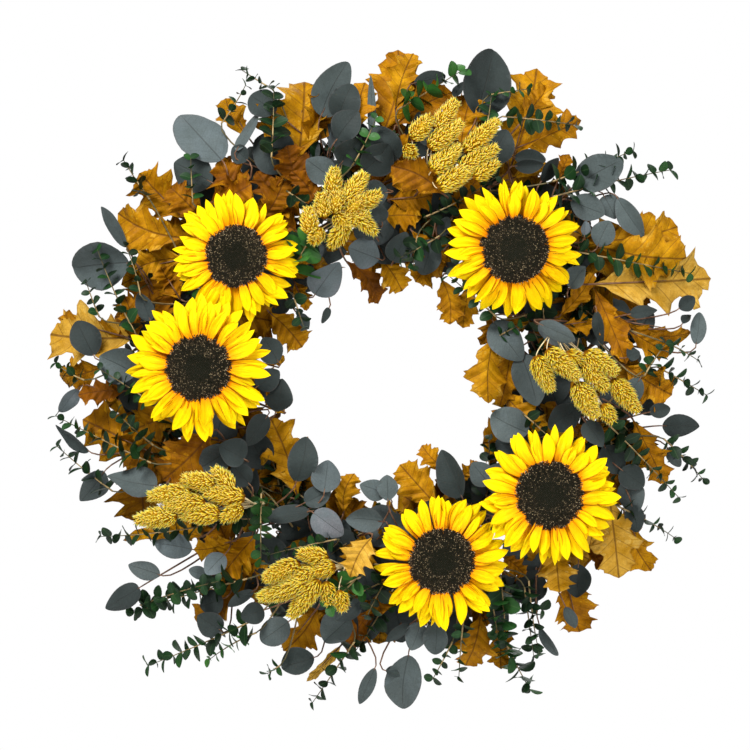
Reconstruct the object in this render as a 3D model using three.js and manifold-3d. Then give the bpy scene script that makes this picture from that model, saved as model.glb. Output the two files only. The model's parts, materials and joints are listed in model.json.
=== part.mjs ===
// Harvest door wreath: a crescent-profile wire frame with oak, eucalyptus and small-leaf
// sprays, five seed-head bunches and five sunflowers, hung from a door hook by a wire loop.
// Millimetres, +Z up. The origin is the point of the hanging loop that rests on the hook,
// the front of the wreath faces -Y, and the door is behind it at +Y.
import * as THREE from 'three';
import { mergeVertices } from 'three/addons/utils/BufferGeometryUtils.js';
import Module from 'manifold-3d';

// Wire frame
const ringRadii = { inner: 152, innerFront: 169, outerFront: 186, outer: 203 };
const ringWireRadius = 1.7;
const crescentDepth = 18;
const barThickness = 2.6;
const barWidth = 5;
const barBack = 4;
const barEnd = 3.5;
const barBend = 3;
const barAngles = [8, 56, 96, 150, 188, 236, 272, 310];

// Hanging loop
const loopWireRadius = 0.8;
const hingeClearance = 0.5;
const eyeRadius = 10;
const neckRadius = 1.5;
const neckLength = 6;

// Binding wire
const bindingRadius = 0.5;
const bindingGap = 2.4;
const bindingBack = 3.3;
const bindingPitch = 2.6;
const bindingBackCorner = 1;
const bindingFrontCorner = 2;
const bindingTension = 0.15;
const bindingAngles = [19, 40, 81, 147, 173, 228, 290, 328];

// Foliage
const stemRadius = 1.2;
const stalkWidth = 2.4;
const stalkOverlap = 0.08;
const postRadius = 2.5;
const postFoot = -2;
const postClearance = 0.5;
const leafThickness = 1.4;
const lanes = { inner: 160, middle: 178, outer: 197 };
const oak = { count: 10, lane: lanes.inner, depths: [-32, -42], step: 3, turn: 0 };
const eucalyptus = { count: 12, lane: lanes.outer, depths: [-53, -63], step: 3, turn: 15 };
const green = { count: 8, lane: lanes.middle, depths: [-73, -82], step: 2.5, turn: 22.5 };
const layers = 3;
const smallestDetail = 0.1;

// Seed heads and sunflowers
const seedPlane = -106;
const seedKnotPlane = -96;
const seedStemInset = 0.15;
const petalsPerLayer = 10;
const petalThickness = 1.5;
const petalLayerStep = 3;
const petalHubShare = 0.8;
const discHeight = 10;
const discRimShare = 0.25;
const calyxDepth = 5.2;
const calyxRimDepth = 1.4;
const calyxRimShare = 0.75;
const calyxWaistShare = 0.7;
const calyxOverlap = 1;
const faceGap = 0.3;

// Facets round each section and each turn, and how close two corners are the same corner
const facets = {
  wire: 5, ring: 32, loopWire: 6, eyelet: 20, eye: 24, neck: 8, binding: 3, bindingSpan: 3,
  post: 5, stem: 3, seedHead: 5, petalHub: 16, disc: 14, discRise: 3, calyx: 12,
};
const weldDistance = 1e-4;

// One side's outline of each kind of leaf, as shares of its length and its half width.
const oakSide = [[0, 0.1], [0.3, 0.8], [0.42, 0.35], [0.66, 1], [0.78, 0.35], [1, 0]];
const eucalyptusSide = [[0, 0], [0.12, 0.62], [0.42, 1], [0.78, 0.8], [1, 0]];
const sprigSide = [[0, 0.1], [0.2, 1], [0.34, 0.12], [0.5, 1], [0.64, 0.12], [0.8, 0.9], [1, 0]];
const stalkSide = [[0, 1], [1, 1]];

// A seed head's outline as shares of its width and its length, and a petal's as shares of
// the flower's radius and of the angle between two petals.
const seedSide = [[0, 0], [0.48, 0.25], [0.42, 0.7], [0, 1]];
const petalSide = [[0.5, 0], [0.82, 0.24], [1, 0.5], [0.82, 0.76]];

// Leaves and sprigs are laid out on the face of the wreath, in millimetres from its centre:
// foot x, foot z, tip x, tip z, width.
const oakLeaves = [
  [-188, 152, -226, 188, 38], [-182, 130, -247, 154, 46], [-184, 112, -230, 102, 30],
  [-126, 224, -148, 262, 28], [-124, 172, -152, 203, 38], [-100, 155, -118, 192, 30],
  [-100, 196, -108, 262, 28], [-84, 200, -84, 280, 46], [-64, 156, -86, 192, 28],
  [-2, 226, 12, 302, 46], [10, 234, 62, 264, 36], [-4, 180, 40, 198, 34],
  [24, 138, 54, 108, 18], [116, 196, 142, 292, 42], [122, 214, 182, 240, 34],
  [198, 126, 279, 114, 50], [192, 90, 302, 96, 54], [192, 86, 222, 14, 26],
  [220, 54, 284, 44, 18], [220, 14, 264, -14, 40], [160, 58, 192, 98, 18],
  [160, 50, 202, 56, 18], [228, -36, 258, -96, 30], [212, -106, 225, -183, 48],
  [222, -128, 251, -176, 28], [168, -180, 186, -236, 42], [88, -216, 74, -264, 38],
  [110, -222, 107, -266, 28], [-8, -210, -34, -250, 28], [-62, -210, -94, -250, 38],
  [-118, -142, -150, -180, 34], [-168, -144, -242, -148, 13], [-20, -140, -28, -181, 32],
  [-158, -46, -204, -92, 46], [-204, -72, -280, -36, 56], [-238, -10, -282, -14, 24],
  [-224, 40, -311, 42, 52], [-260, 12, -302, 4, 28], [-230, 32, -240, 78, 22],
  [-80, -108, -106, -34, 44], [48, -116, 14, -78, 36], [-106, 62, -76, 30, 34],
  [-36, 110, -6, 70, 22], [52, 94, 60, 51, 26], [80, 90, 72, 48, 24], [110, 42, 96, -23, 36],
  [108, -10, 150, -46, 32],
];
const eucalyptusLeaves = [
  [-150, 206, -184, 250, 44], [-156, 180, -194, 200, 36], [-138, 208, -116, 246, 14],
  [-98, 244, -124, 262, 28], [-236, 120, -262, 160, 13], [-232, 112, -285, 112, 46],
  [-266, 20, -284, 55, 28], [-226, 4, -262, 22, 36], [-270, -67, -302, -43, 12],
  [-256, -82, -281, -112, 26], [-206, -98, -255, -88, 32], [-140, -62, -176, -84, 28],
  [-106, -30, -126, -60, 22], [-97, -32, -88, 2, 30], [-174, -156, -212, -150, 25],
  [-204, -180, -236, -170, 17], [-224, -190, -258, -211, 22], [-86, -220, -114, -240, 26],
  [-62, -254, -95, -264, 26], [-30, -216, -56, -240, 32], [-66, -120, -108, -128, 16],
  [-68, -120, -38, -142, 26], [1, -130, -36, -128, 24], [48, -218, 46, -252, 22],
  [17, -250, 5, -307, 30], [-4, -268, -25, -298, 11], [178, -166, 176, -200, 26],
  [142, -225, 160, -255, 8], [222, -88, 230, -124, 27], [98, 56, 126, 18, 30],
  [124, 26, 140, -24, 32], [138, 52, 174, 34, 18], [134, -50, 98, -32, 34],
  [182, -24, 150, -44, 26], [182, -36, 200, -62, 18], [200, -58, 216, -86, 26],
  [252, -40, 288, -38, 24], [236, 4, 216, -26, 20], [84, 240, 100, 302, 48],
  [96, 194, 112, 230, 28], [174, 178, 218, 202, 34], [168, 166, 202, 152, 26],
  [212, 170, 238, 132, 22], [-60, 240, -34, 292, 34], [-46, 218, -24, 246, 28],
  [-44, 182, -72, 202, 28], [-2, 110, -34, 122, 32], [-66, 76, -42, 108, 32],
  [6, 106, 20, 136, 26], [24, 272, 56, 280, 16], [-82, -96, -72, -52, 26],
  [-56, -106, -52, -74, 26], [72, -110, 52, -64, 24],
];
const greenSprigs = [
  [-104, 204, -104, 268, 26], [-228, 42, -264, 120, 20], [-212, -22, -262, 10, 18],
  [-214, -76, -304, -33, 22], [-250, -102, -303, -61, 22], [-112, -128, -168, -132, 24],
  [-168, -134, -260, -142, 14], [-126, -176, -230, -210, 26], [-124, -218, -217, -262, 20],
  [-28, -240, -67, -298, 22], [-44, -146, -106, -160, 16], [106, -180, 112, -250, 30],
  [132, -184, 142, -252, 16], [214, -116, 268, -146, 20], [204, -40, 270, -108, 22],
  [174, 118, 282, 98, 22], [154, 168, 264, 194, 24], [154, 182, 230, 212, 22],
  [108, 242, 176, 234, 22], [38, 150, 102, 186, 20], [12, 250, 70, 282, 24],
  [102, 58, 58, 96, 18],
];

// Seed bunches: where the stems are tied, the lane of the frame that they enter, and the
// heads as foot x, foot z, tip x, tip z, width.
const seedBunches = [
  { tie: [-38, 150], lane: lanes.inner, heads: [
    [-48, 166, -46, 194, 14], [-37, 162, -17, 190, 17], [-28, 157, -3, 171, 14],
    [-55, 148, -58, 170, 15], [-68, 132, -70, 158, 15], [-38, 144, -14, 152, 14],
    [-36, 140, -50, 122, 15]] },
  { tie: [40, 184], lane: lanes.outer, heads: [
    [46, 228, 66, 256, 14], [25, 220, 42, 240, 16], [40, 212, 72, 236, 18],
    [73, 208, 105, 238, 16], [42, 190, 70, 215, 18], [68, 192, 105, 214, 14],
    [48, 175, 85, 197, 18]] },
  { tie: [154, 46], lane: lanes.inner, heads: [
    [138, 22, 152, -12, 18], [148, 27, 178, 0, 20], [182, 24, 213, 6, 20],
    [182, 15, 203, -10, 20], [175, -3, 193, -35, 22], [208, 0, 232, -30, 18]] },
  { tie: [-118, -114], lane: lanes.inner, heads: [
    [-176, -104, -218, -106, 19], [-190, -123, -229, -128, 19], [-150, -122, -190, -122, 18],
    [-155, -95, -186, -90, 17], [-128, -108, -168, -102, 18], [-138, -100, -157, -80, 14]] },
  { tie: [-38, -170], lane: lanes.middle, heads: [
    [-78, -168, -112, -182, 19], [-72, -184, -118, -200, 20], [-60, -182, -88, -218, 18],
    [-52, -163, -80, -158, 15], [-45, -170, -75, -176, 15], [-54, -184, -50, -206, 13],
    [-42, -192, -38, -210, 12]] },
];

// Sunflowers: centre x, centre z, petal radius, disc radius, and how far forward they stand.
const sunflowers = [
  { x: -136, z: 113, reach: 60, disc: 28, front: -98 },
  { x: -170, z: 11, reach: 66, disc: 30, front: -107 },
  { x: 118, z: 120, reach: 63, disc: 31, front: -100 },
  { x: 150, z: -105, reach: 64, disc: 31, front: -107 },
  { x: 52, z: -166, reach: 61, disc: 30, front: -98 },
];

const eyeCentre = loopWireRadius - eyeRadius;
const eyeletRadius = ringWireRadius + hingeClearance + loopWireRadius;
const hingeHeight = eyeCentre - eyeRadius - neckLength - eyeletRadius;
const wreathHeight = hingeHeight - ringRadii.outer;

const wasm = await Module();
wasm.setup();

// A closed geometry as a solid, without the slivers where a lathe meets its axis.
function solidOf(geometry) {
  const bare = geometry.clone();
  bare.deleteAttribute('normal');
  bare.deleteAttribute('uv');
  const merged = mergeVertices(bare, weldDistance);
  const index = merged.index.array;
  const corners = [];
  for (let i = 0; i < index.length; i += 3) {
    const [a, b, c] = index.subarray(i, i + 3);
    if (a !== b && b !== c && c !== a) corners.push(a, b, c);
  }
  const triVerts = Uint32Array.from(corners);
  const vertProperties = merged.attributes.position.array;
  return new wasm.Manifold(new wasm.Mesh({ numProp: 3, vertProperties, triVerts }));
}

function geometryOf(solid) {
  const { vertProperties, triVerts } = solid.getMesh();
  const geometry = new THREE.BufferGeometry();
  geometry.setAttribute('position', new THREE.BufferAttribute(vertProperties, 3));
  geometry.setIndex(new THREE.BufferAttribute(triVerts, 1));
  geometry.computeVertexNormals();
  return geometry;
}

function join(geometries) {
  return geometries.map(solidOf).reduce((sum, solid) => sum.add(solid));
}

function largestBody(solid) {
  return solid.decompose().reduce((a, b) => (b.volume() > a.volume() ? b : a));
}

function onRing(radius, degrees) {
  const angle = THREE.MathUtils.degToRad(degrees);
  return [radius * Math.cos(angle), radius * Math.sin(angle)];
}

function angleOf(x, z) {
  return (THREE.MathUtils.radToDeg(Math.atan2(z, x)) + 360) % 360;
}

// Turns geometry built along +Y so that it runs from one point to another.
function aim(geometry, from, to) {
  const direction = new THREE.Vector3().subVectors(to, from).normalize();
  const turn = new THREE.Quaternion().setFromUnitVectors(new THREE.Vector3(0, 1, 0), direction);
  geometry.applyQuaternion(turn);
  geometry.translate(from.x, from.y, from.z);
  return geometry;
}

function rod(from, to, radius, sides) {
  const length = from.distanceTo(to);
  const geometry = new THREE.CylinderGeometry(radius, radius, length, sides);
  geometry.translate(0, length / 2, 0);
  return aim(geometry, from, to);
}

// A flat outline in the plane of the wreath, given a thickness towards the front.
function plate(points, thickness, y) {
  const shape = new THREE.Shape(points.map(([x, z]) => new THREE.Vector2(x, z)));
  const geometry = new THREE.ExtrudeGeometry(shape, { depth: thickness, bevelEnabled: false });
  geometry.rotateX(Math.PI / 2);
  geometry.translate(0, y + thickness / 2, 0);
  return geometry;
}

// Places one side's outline, as shares of the length and half width, on both sides of a leaf.
function leafOutline([footX, footZ, tipX, tipZ, width], side) {
  const length = Math.hypot(tipX - footX, tipZ - footZ);
  const along = [(tipX - footX) / length, (tipZ - footZ) / length];
  const place = ([u, v]) => [
    footX + along[0] * u * length - along[1] * v * width / 2,
    footZ + along[1] * u * length + along[0] * v * width / 2,
  ];
  const back = side.filter(([, v]) => v > 0).reverse().map(([u, v]) => [u, -v]);
  return [...side, ...back].map(place).reverse();
}

function material(color, roughness, metalness = 0) {
  return new THREE.MeshStandardMaterial({ color, roughness, metalness });
}

function part(name, solid, look) {
  const mesh = new THREE.Mesh(geometryOf(solid), look);
  mesh.name = name;
  return mesh;
}

// Frame: two back rings and two front rings on bent cross bars.
function frameSolid() {
  const rings = [
    [ringRadii.inner, 0], [ringRadii.outer, 0],
    [ringRadii.innerFront, -crescentDepth], [ringRadii.outerFront, -crescentDepth],
  ].map(([radius, y]) => {
    const ring = new THREE.TorusGeometry(radius, ringWireRadius, facets.wire, facets.ring);
    ring.rotateX(Math.PI / 2);
    ring.translate(0, y, 0);
    return ring;
  });
  // The cross bar's bent path, as distance from the wreath's centre and height of its back.
  const bend = [
    [ringRadii.inner - barEnd, barBack], [ringRadii.inner + barBend, barBack],
    [ringRadii.innerFront - barBend, barBack - crescentDepth],
    [ringRadii.outerFront + barBend, barBack - crescentDepth],
    [ringRadii.outer - barBend, barBack], [ringRadii.outer + barEnd, barBack],
  ];
  const front = bend.map(([r, y]) => [r, y - barThickness]).reverse();
  const profile = new THREE.Shape([...bend, ...front].map(([r, y]) => new THREE.Vector2(r, y)));
  const bars = barAngles.map((degrees) => {
    const bar = new THREE.ExtrudeGeometry(profile, { depth: barWidth, bevelEnabled: false });
    bar.translate(0, 0, -barWidth / 2);
    bar.rotateY(-THREE.MathUtils.degToRad(degrees));
    return bar;
  });
  return join([...rings, ...bars]);
}

// Hanging loop: an eyelet round the frame's top wire, a twisted neck and a round eye above.
function loopSolid() {
  const eyelet = new THREE.TorusGeometry(
    eyeletRadius, loopWireRadius, facets.loopWire, facets.eyelet);
  eyelet.rotateY(Math.PI / 2);
  eyelet.translate(0, 0, hingeHeight);
  const eye = new THREE.TorusGeometry(eyeRadius, loopWireRadius, facets.loopWire, facets.eye);
  eye.rotateX(Math.PI / 2);
  eye.translate(0, 0, eyeCentre);
  const neckTop = new THREE.Vector3(0, 0, eyeCentre - eyeRadius);
  const neckFoot = new THREE.Vector3(0, 0, eyeCentre - eyeRadius - neckLength);
  return join([eyelet, eye, rod(neckFoot, neckTop, neckRadius, facets.neck)]);
}

// Binding wire: one turn round all four rings, its two ends side by side at the back.
function bindingSolid(degrees) {
  const reach = ringWireRadius + bindingGap + bindingRadius;
  const frontY = -crescentDepth - reach;
  const path = [
    [lanes.middle, bindingBack], [ringRadii.inner - bindingBackCorner, bindingBack],
    [ringRadii.inner - reach, 0], [ringRadii.innerFront - bindingFrontCorner, frontY],
    [ringRadii.outerFront + bindingFrontCorner, frontY], [ringRadii.outer + reach, 0],
    [ringRadii.outer + bindingBackCorner, bindingBack], [lanes.middle, bindingBack],
  ];
  const last = path.length - 1;
  const points = path.map(([r, y], i) => new THREE.Vector3(r, y, bindingPitch * (i / last - 0.5)));
  const curve = new THREE.CatmullRomCurve3(points, false, 'catmullrom', bindingTension);
  const corners = Array.from({ length: facets.binding }, (_, k) => {
    return new THREE.Vector2(...onRing(bindingRadius, k * 360 / facets.binding));
  });
  const section = new THREE.Shape(corners);
  const steps = facets.bindingSpan * last;
  const wire = new THREE.ExtrudeGeometry(
    section, { steps, extrudePath: curve, bevelEnabled: false });
  wire.rotateY(-THREE.MathUtils.degToRad(degrees));
  return solidOf(wire);
}

// A post is the bundled stem of a spray, bunch or flower, from between the frame's wires to
// the place where its leaves or its head begin.
function postBetween([footX, footZ], [topX, topZ], topY) {
  const foot = new THREE.Vector3(footX, postFoot, footZ);
  return { foot, top: new THREE.Vector3(topX, topY, topZ) };
}

function postRod(post, extra = 0) {
  return rod(post.foot, post.top, postRadius + extra, facets.post);
}

// Sprays: each leaf belongs to the sector of the ring that it lies in, and neighbouring
// sprays stand at two different depths, so that their leaves pass each other.
function sprays(kind, rows, side) {
  const sector = 360 / kind.count;
  return Array.from({ length: kind.count }, (_, k) => {
    const degrees = kind.turn + k * sector;
    const hub = onRing(kind.lane, degrees);
    const startY = kind.depths[k % kind.depths.length];
    const mine = rows.filter(([x0, z0, x1, z1]) => {
      const offset = (angleOf((x0 + x1) / 2, (z0 + z1) / 2) - degrees + 540) % 360 - 180;
      return Math.abs(offset) <= sector / 2;
    });
    const post = postBetween(hub, hub, startY - kind.step * layers);
    const leaves = mine.flatMap((row, i) => {
      const y = startY - kind.step * (i % layers);
      const [x0, z0, x1, z1] = row;
      const inside = [x0 + (x1 - x0) * stalkOverlap, z0 + (z1 - z0) * stalkOverlap];
      const blade = plate(leafOutline(row, side), leafThickness, y);
      const stalkRow = [...hub, ...inside, stalkWidth];
      return [blade, plate(leafOutline(stalkRow, stalkSide), leafThickness, y)];
    });
    return { post, solid: join([postRod(post), ...leaves]) };
  });
}

// A bunch of seed heads, their stems gathered at the tie in front of the bundled stem.
function seedBunch({ tie, lane, heads }) {
  const foot = onRing(lane, angleOf(...tie));
  const post = postBetween(foot, tie, seedKnotPlane);
  const knot = new THREE.Vector3(tie[0], seedKnotPlane, tie[1]);
  const pieces = heads.flatMap(([x0, z0, x1, z1, width]) => {
    const from = new THREE.Vector3(x0, seedPlane, z0);
    const to = new THREE.Vector3(x1, seedPlane, z1);
    const length = from.distanceTo(to);
    const outline = seedSide.map(([r, u]) => new THREE.Vector2(r * width, u * length));
    const head = aim(new THREE.LatheGeometry(outline, facets.seedHead), from, to);
    const inside = from.clone().lerp(to, seedStemInset);
    return [head, rod(knot, inside, stemRadius, facets.stem)];
  });
  return { post, solid: join([postRod(post), ...pieces]) };
}

// Two layers of ray petals, turned by half a petal, on a hub behind the disc.
function petalSolid({ reach, disc }) {
  const star = (turn) => Array.from({ length: petalsPerLayer }, (_, k) => {
    return petalSide.map(([r, share]) => {
      return onRing(r * reach, (k + share + turn) * 360 / petalsPerLayer);
    });
  }).flat();
  const hubRadius = disc * petalHubShare;
  const hub = new THREE.CylinderGeometry(hubRadius, hubRadius, petalLayerStep, facets.petalHub);
  hub.translate(0, -petalLayerStep / 2, 0);
  return join([
    plate(star(0), petalThickness, -petalThickness / 2), hub,
    plate(star(0.5), petalThickness, -petalLayerStep - petalThickness / 2),
  ]);
}

// The domed seed disc, in front of the petals.
function discSolid({ disc }) {
  const dome = Array.from({ length: facets.discRise + 1 }, (_, i) => {
    const angle = (i / facets.discRise) * Math.PI / 2;
    const rise = discRimShare + (1 - discRimShare) * Math.sin(angle);
    return new THREE.Vector2(disc * Math.cos(angle), discHeight * rise);
  });
  dome[facets.discRise].x = 0;
  const profile = [new THREE.Vector2(0, 0), new THREE.Vector2(disc, 0), ...dome];
  const geometry = new THREE.LatheGeometry(profile, facets.disc);
  geometry.rotateX(Math.PI);
  geometry.translate(0, -petalLayerStep - petalThickness - faceGap, 0);
  return solidOf(geometry);
}

// The green cup behind a flower, with the stem that runs back to the frame.
function calyxSolid({ x, z, disc, front }) {
  const profile = [
    [0, 0], [disc * calyxRimShare, 0], [disc * calyxWaistShare, calyxRimDepth],
    [postRadius, calyxDepth], [0, calyxDepth],
  ];
  const outline = profile.map(([r, y]) => new THREE.Vector2(r, y));
  const cup = new THREE.LatheGeometry(outline, facets.calyx);
  cup.translate(x, front + faceGap, z);
  const foot = onRing(lanes.middle, angleOf(x, z));
  const post = postBetween(foot, [x, z], front + faceGap + calyxOverlap);
  return { post, solid: join([cup, postRod(post)]) };
}

const looks = {
  frameWire: () => material(0x2f4a34, 0.45, 0.6),
  loopWire: () => material(0x8a8f92, 0.35, 0.9),
  bindingWire: () => material(0x3c5a3c, 0.45, 0.6),
  oak: () => material(0xc08418, 0.6),
  eucalyptus: () => material(0x5d686c, 0.75),
  green: () => material(0x25492a, 0.6),
  seed: () => material(0xe6c24a, 0.85),
  petal: () => material(0xffd60f, 0.6),
  disc: () => material(0x2c2118, 0.9),
  calyx: () => material(0x4f6a2c, 0.7),
};

const oakSprays = sprays(oak, oakLeaves, oakSide);
const eucalyptusSprays = sprays(eucalyptus, eucalyptusLeaves, eucalyptusSide);
const greenSprays = sprays(green, greenSprigs, sprigSide);
const bunches = seedBunches.map(seedBunch);
const calyxes = sunflowers.map(calyxSolid);
const stemmed = [...oakSprays, ...eucalyptusSprays, ...greenSprays, ...bunches, ...calyxes];
const posts = stemmed.map((piece) => piece.post);

// Leaves part round every other stem that passes through them.
function parted({ post, solid }) {
  const others = posts.filter((other) => other !== post);
  const room = others.map((other) => solidOf(postRod(other, postClearance)));
  const cleared = room.reduce((rest, gap) => rest.subtract(gap), solid);
  return largestBody(cleared.simplify(smallestDetail));
}

const wreath = new THREE.Group();
wreath.position.z = wreathHeight;
wreath.add(part('wreath_frame', frameSolid(), looks.frameWire()));
bindingAngles.forEach((degrees, i) => {
  wreath.add(part(`binding_wire_${i + 1}`, bindingSolid(degrees), looks.bindingWire()));
});
oakSprays.forEach((spray, i) => {
  wreath.add(part(`oak_spray_${i + 1}`, parted(spray), looks.oak()));
});
eucalyptusSprays.forEach((spray, i) => {
  wreath.add(part(`eucalyptus_spray_${i + 1}`, parted(spray), looks.eucalyptus()));
});
greenSprays.forEach((spray, i) => {
  wreath.add(part(`green_sprig_${i + 1}`, parted(spray), looks.green()));
});
bunches.forEach((bunch, i) => {
  wreath.add(part(`seed_bunch_${i + 1}`, parted(bunch), looks.seed()));
});
sunflowers.forEach((flower, i) => {
  const head = new THREE.Group();
  head.position.set(flower.x, flower.front, flower.z);
  head.add(part(`sunflower_${i + 1}_petals`, petalSolid(flower), looks.petal()));
  head.add(part(`sunflower_${i + 1}_disc`, discSolid(flower), looks.disc()));
  wreath.add(head);
  wreath.add(part(`sunflower_${i + 1}_stem`, calyxes[i].solid, looks.calyx()));
});

const object = new THREE.Group();
object.add(part('hanger_loop', loopSolid(), looks.loopWire()));
object.add(wreath);

export default object;
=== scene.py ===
import json
import math

import bpy
import numpy as np
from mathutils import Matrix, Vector


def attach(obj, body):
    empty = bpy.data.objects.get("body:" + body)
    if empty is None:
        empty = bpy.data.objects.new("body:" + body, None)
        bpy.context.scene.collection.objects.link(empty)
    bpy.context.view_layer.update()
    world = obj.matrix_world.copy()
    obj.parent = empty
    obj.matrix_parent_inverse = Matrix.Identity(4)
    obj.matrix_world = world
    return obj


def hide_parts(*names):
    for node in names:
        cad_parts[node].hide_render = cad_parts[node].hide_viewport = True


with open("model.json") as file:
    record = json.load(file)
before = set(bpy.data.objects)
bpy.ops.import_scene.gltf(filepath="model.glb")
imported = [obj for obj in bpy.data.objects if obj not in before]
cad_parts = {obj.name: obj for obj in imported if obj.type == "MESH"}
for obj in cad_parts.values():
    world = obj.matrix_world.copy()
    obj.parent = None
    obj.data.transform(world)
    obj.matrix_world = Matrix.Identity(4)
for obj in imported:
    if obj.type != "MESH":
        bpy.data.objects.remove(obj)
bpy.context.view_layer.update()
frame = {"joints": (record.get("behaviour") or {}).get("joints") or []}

# Layout: millimetres from the wreath's centre, x to the right and z up on its face, y from
# the frame's back rings (0) towards the front (negative).
MM = 0.001
FRONT = np.array([0.0, -1.0, 0.0])
HINGE_Z = frame["joints"][0]["pos_m"][2] / MM
INNER_RING, OUTER_RING = 152, 203
CENTRE_Z = HINGE_Z - OUTER_RING
RING_RADIUS = 178

# Wire frame, binding wire and hanging loop: rings as radius and y, paths as radius and y
RINGS = [(INNER_RING, 0), (OUTER_RING, 0), (169, -18), (186, -18)]
RING_WIRE = 1.7
BAR_PATH = [(148.5, 2.7), (155, 2.7), (166, -15.3), (189, -15.3), (200, 2.7), (206.5, 2.7)]
BAR_HALF_WIDTH, BAR_HALF_THICKNESS = 2.5, 1.3
BAR_ANGLES = [8, 56, 96, 150, 188, 236, 272, 310]
BINDING_ANGLES = [19, 40, 81, 147, 173, 228, 290, 328]
BINDING_PATH = [
    (178, 3.3), (151, 3.3), (147.4, 0), (167, -22.6), (188, -22.6), (207.6, 0), (204, 3.3),
    (178, 3.3),
]
BINDING_PITCH = 2.6
BINDING_WIRE = 0.5
LOOP_WIRE = 0.8
# The loop's heights are from the part's origin, where its eye rests on the hook.
EYE_RADIUS = 10
EYE_Z = LOOP_WIRE - EYE_RADIUS
EYELET_RADIUS = 3.0
NECK_TOP = EYE_Z - EYE_RADIUS
NECK_FOOT = HINGE_Z + EYELET_RADIUS
NECK_STRAND = 0.75
NECK_TWIST = 9

# Foliage: how many sprays of each kind, the ring that their stems leave, how far forward
# they reach as a share of the surface, and how a leaf's own level, foot and tip vary
OAK = {
    "count": 10, "turn": 0, "lane": 160, "level": 0.70, "level_spread": 0.05, "foot_share": 0.92,
    "hues": (0.35, 0.70), "tip_y": (-6, 4)}
EUCALYPTUS = {
    "count": 12, "turn": 15, "lane": 197, "level": 0.90, "level_spread": 0.06, "foot_share": 0.95,
    "hues": (0.15, 0.65), "tip_y": (-6, 6)}
GREEN = {
    "count": 8, "turn": 22.5, "lane": 178, "level": 1.06, "level_spread": 0.05, "foot_share": 0.9,
    "hues": (0.02, 0.38), "tip_y": (-7, 7)}
SURFACE_EDGE = 30
SURFACE_RISE = 54
SURFACE_REACH = 128
# Brightness of the listed leaves, and of the hidden leaves deep in the foliage, which are painted
# darker as painted shade
FRONT_SHADE, DEEP_PAINTED_SHADE = 0.75, 0.54
DEEP_LEVELS = (0.40, 0.67)
FILLED_RING = (104, 260)
COLLAR_LEVELS = (0.20, 0.40)
LOOP_CLEAR_ANGLE = 11
OAK_FULLNESS = 1.16
NARROW_OAK, NARROW_EUCALYPTUS = 0.42, 0.55
SMALL_OAK = 14
SPRIG_STEPS = {"spacing": 9.0, "leaf": 0.70, "smallest": 8.5}
SPRIG_OPEN_SHARE = 0.42

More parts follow.
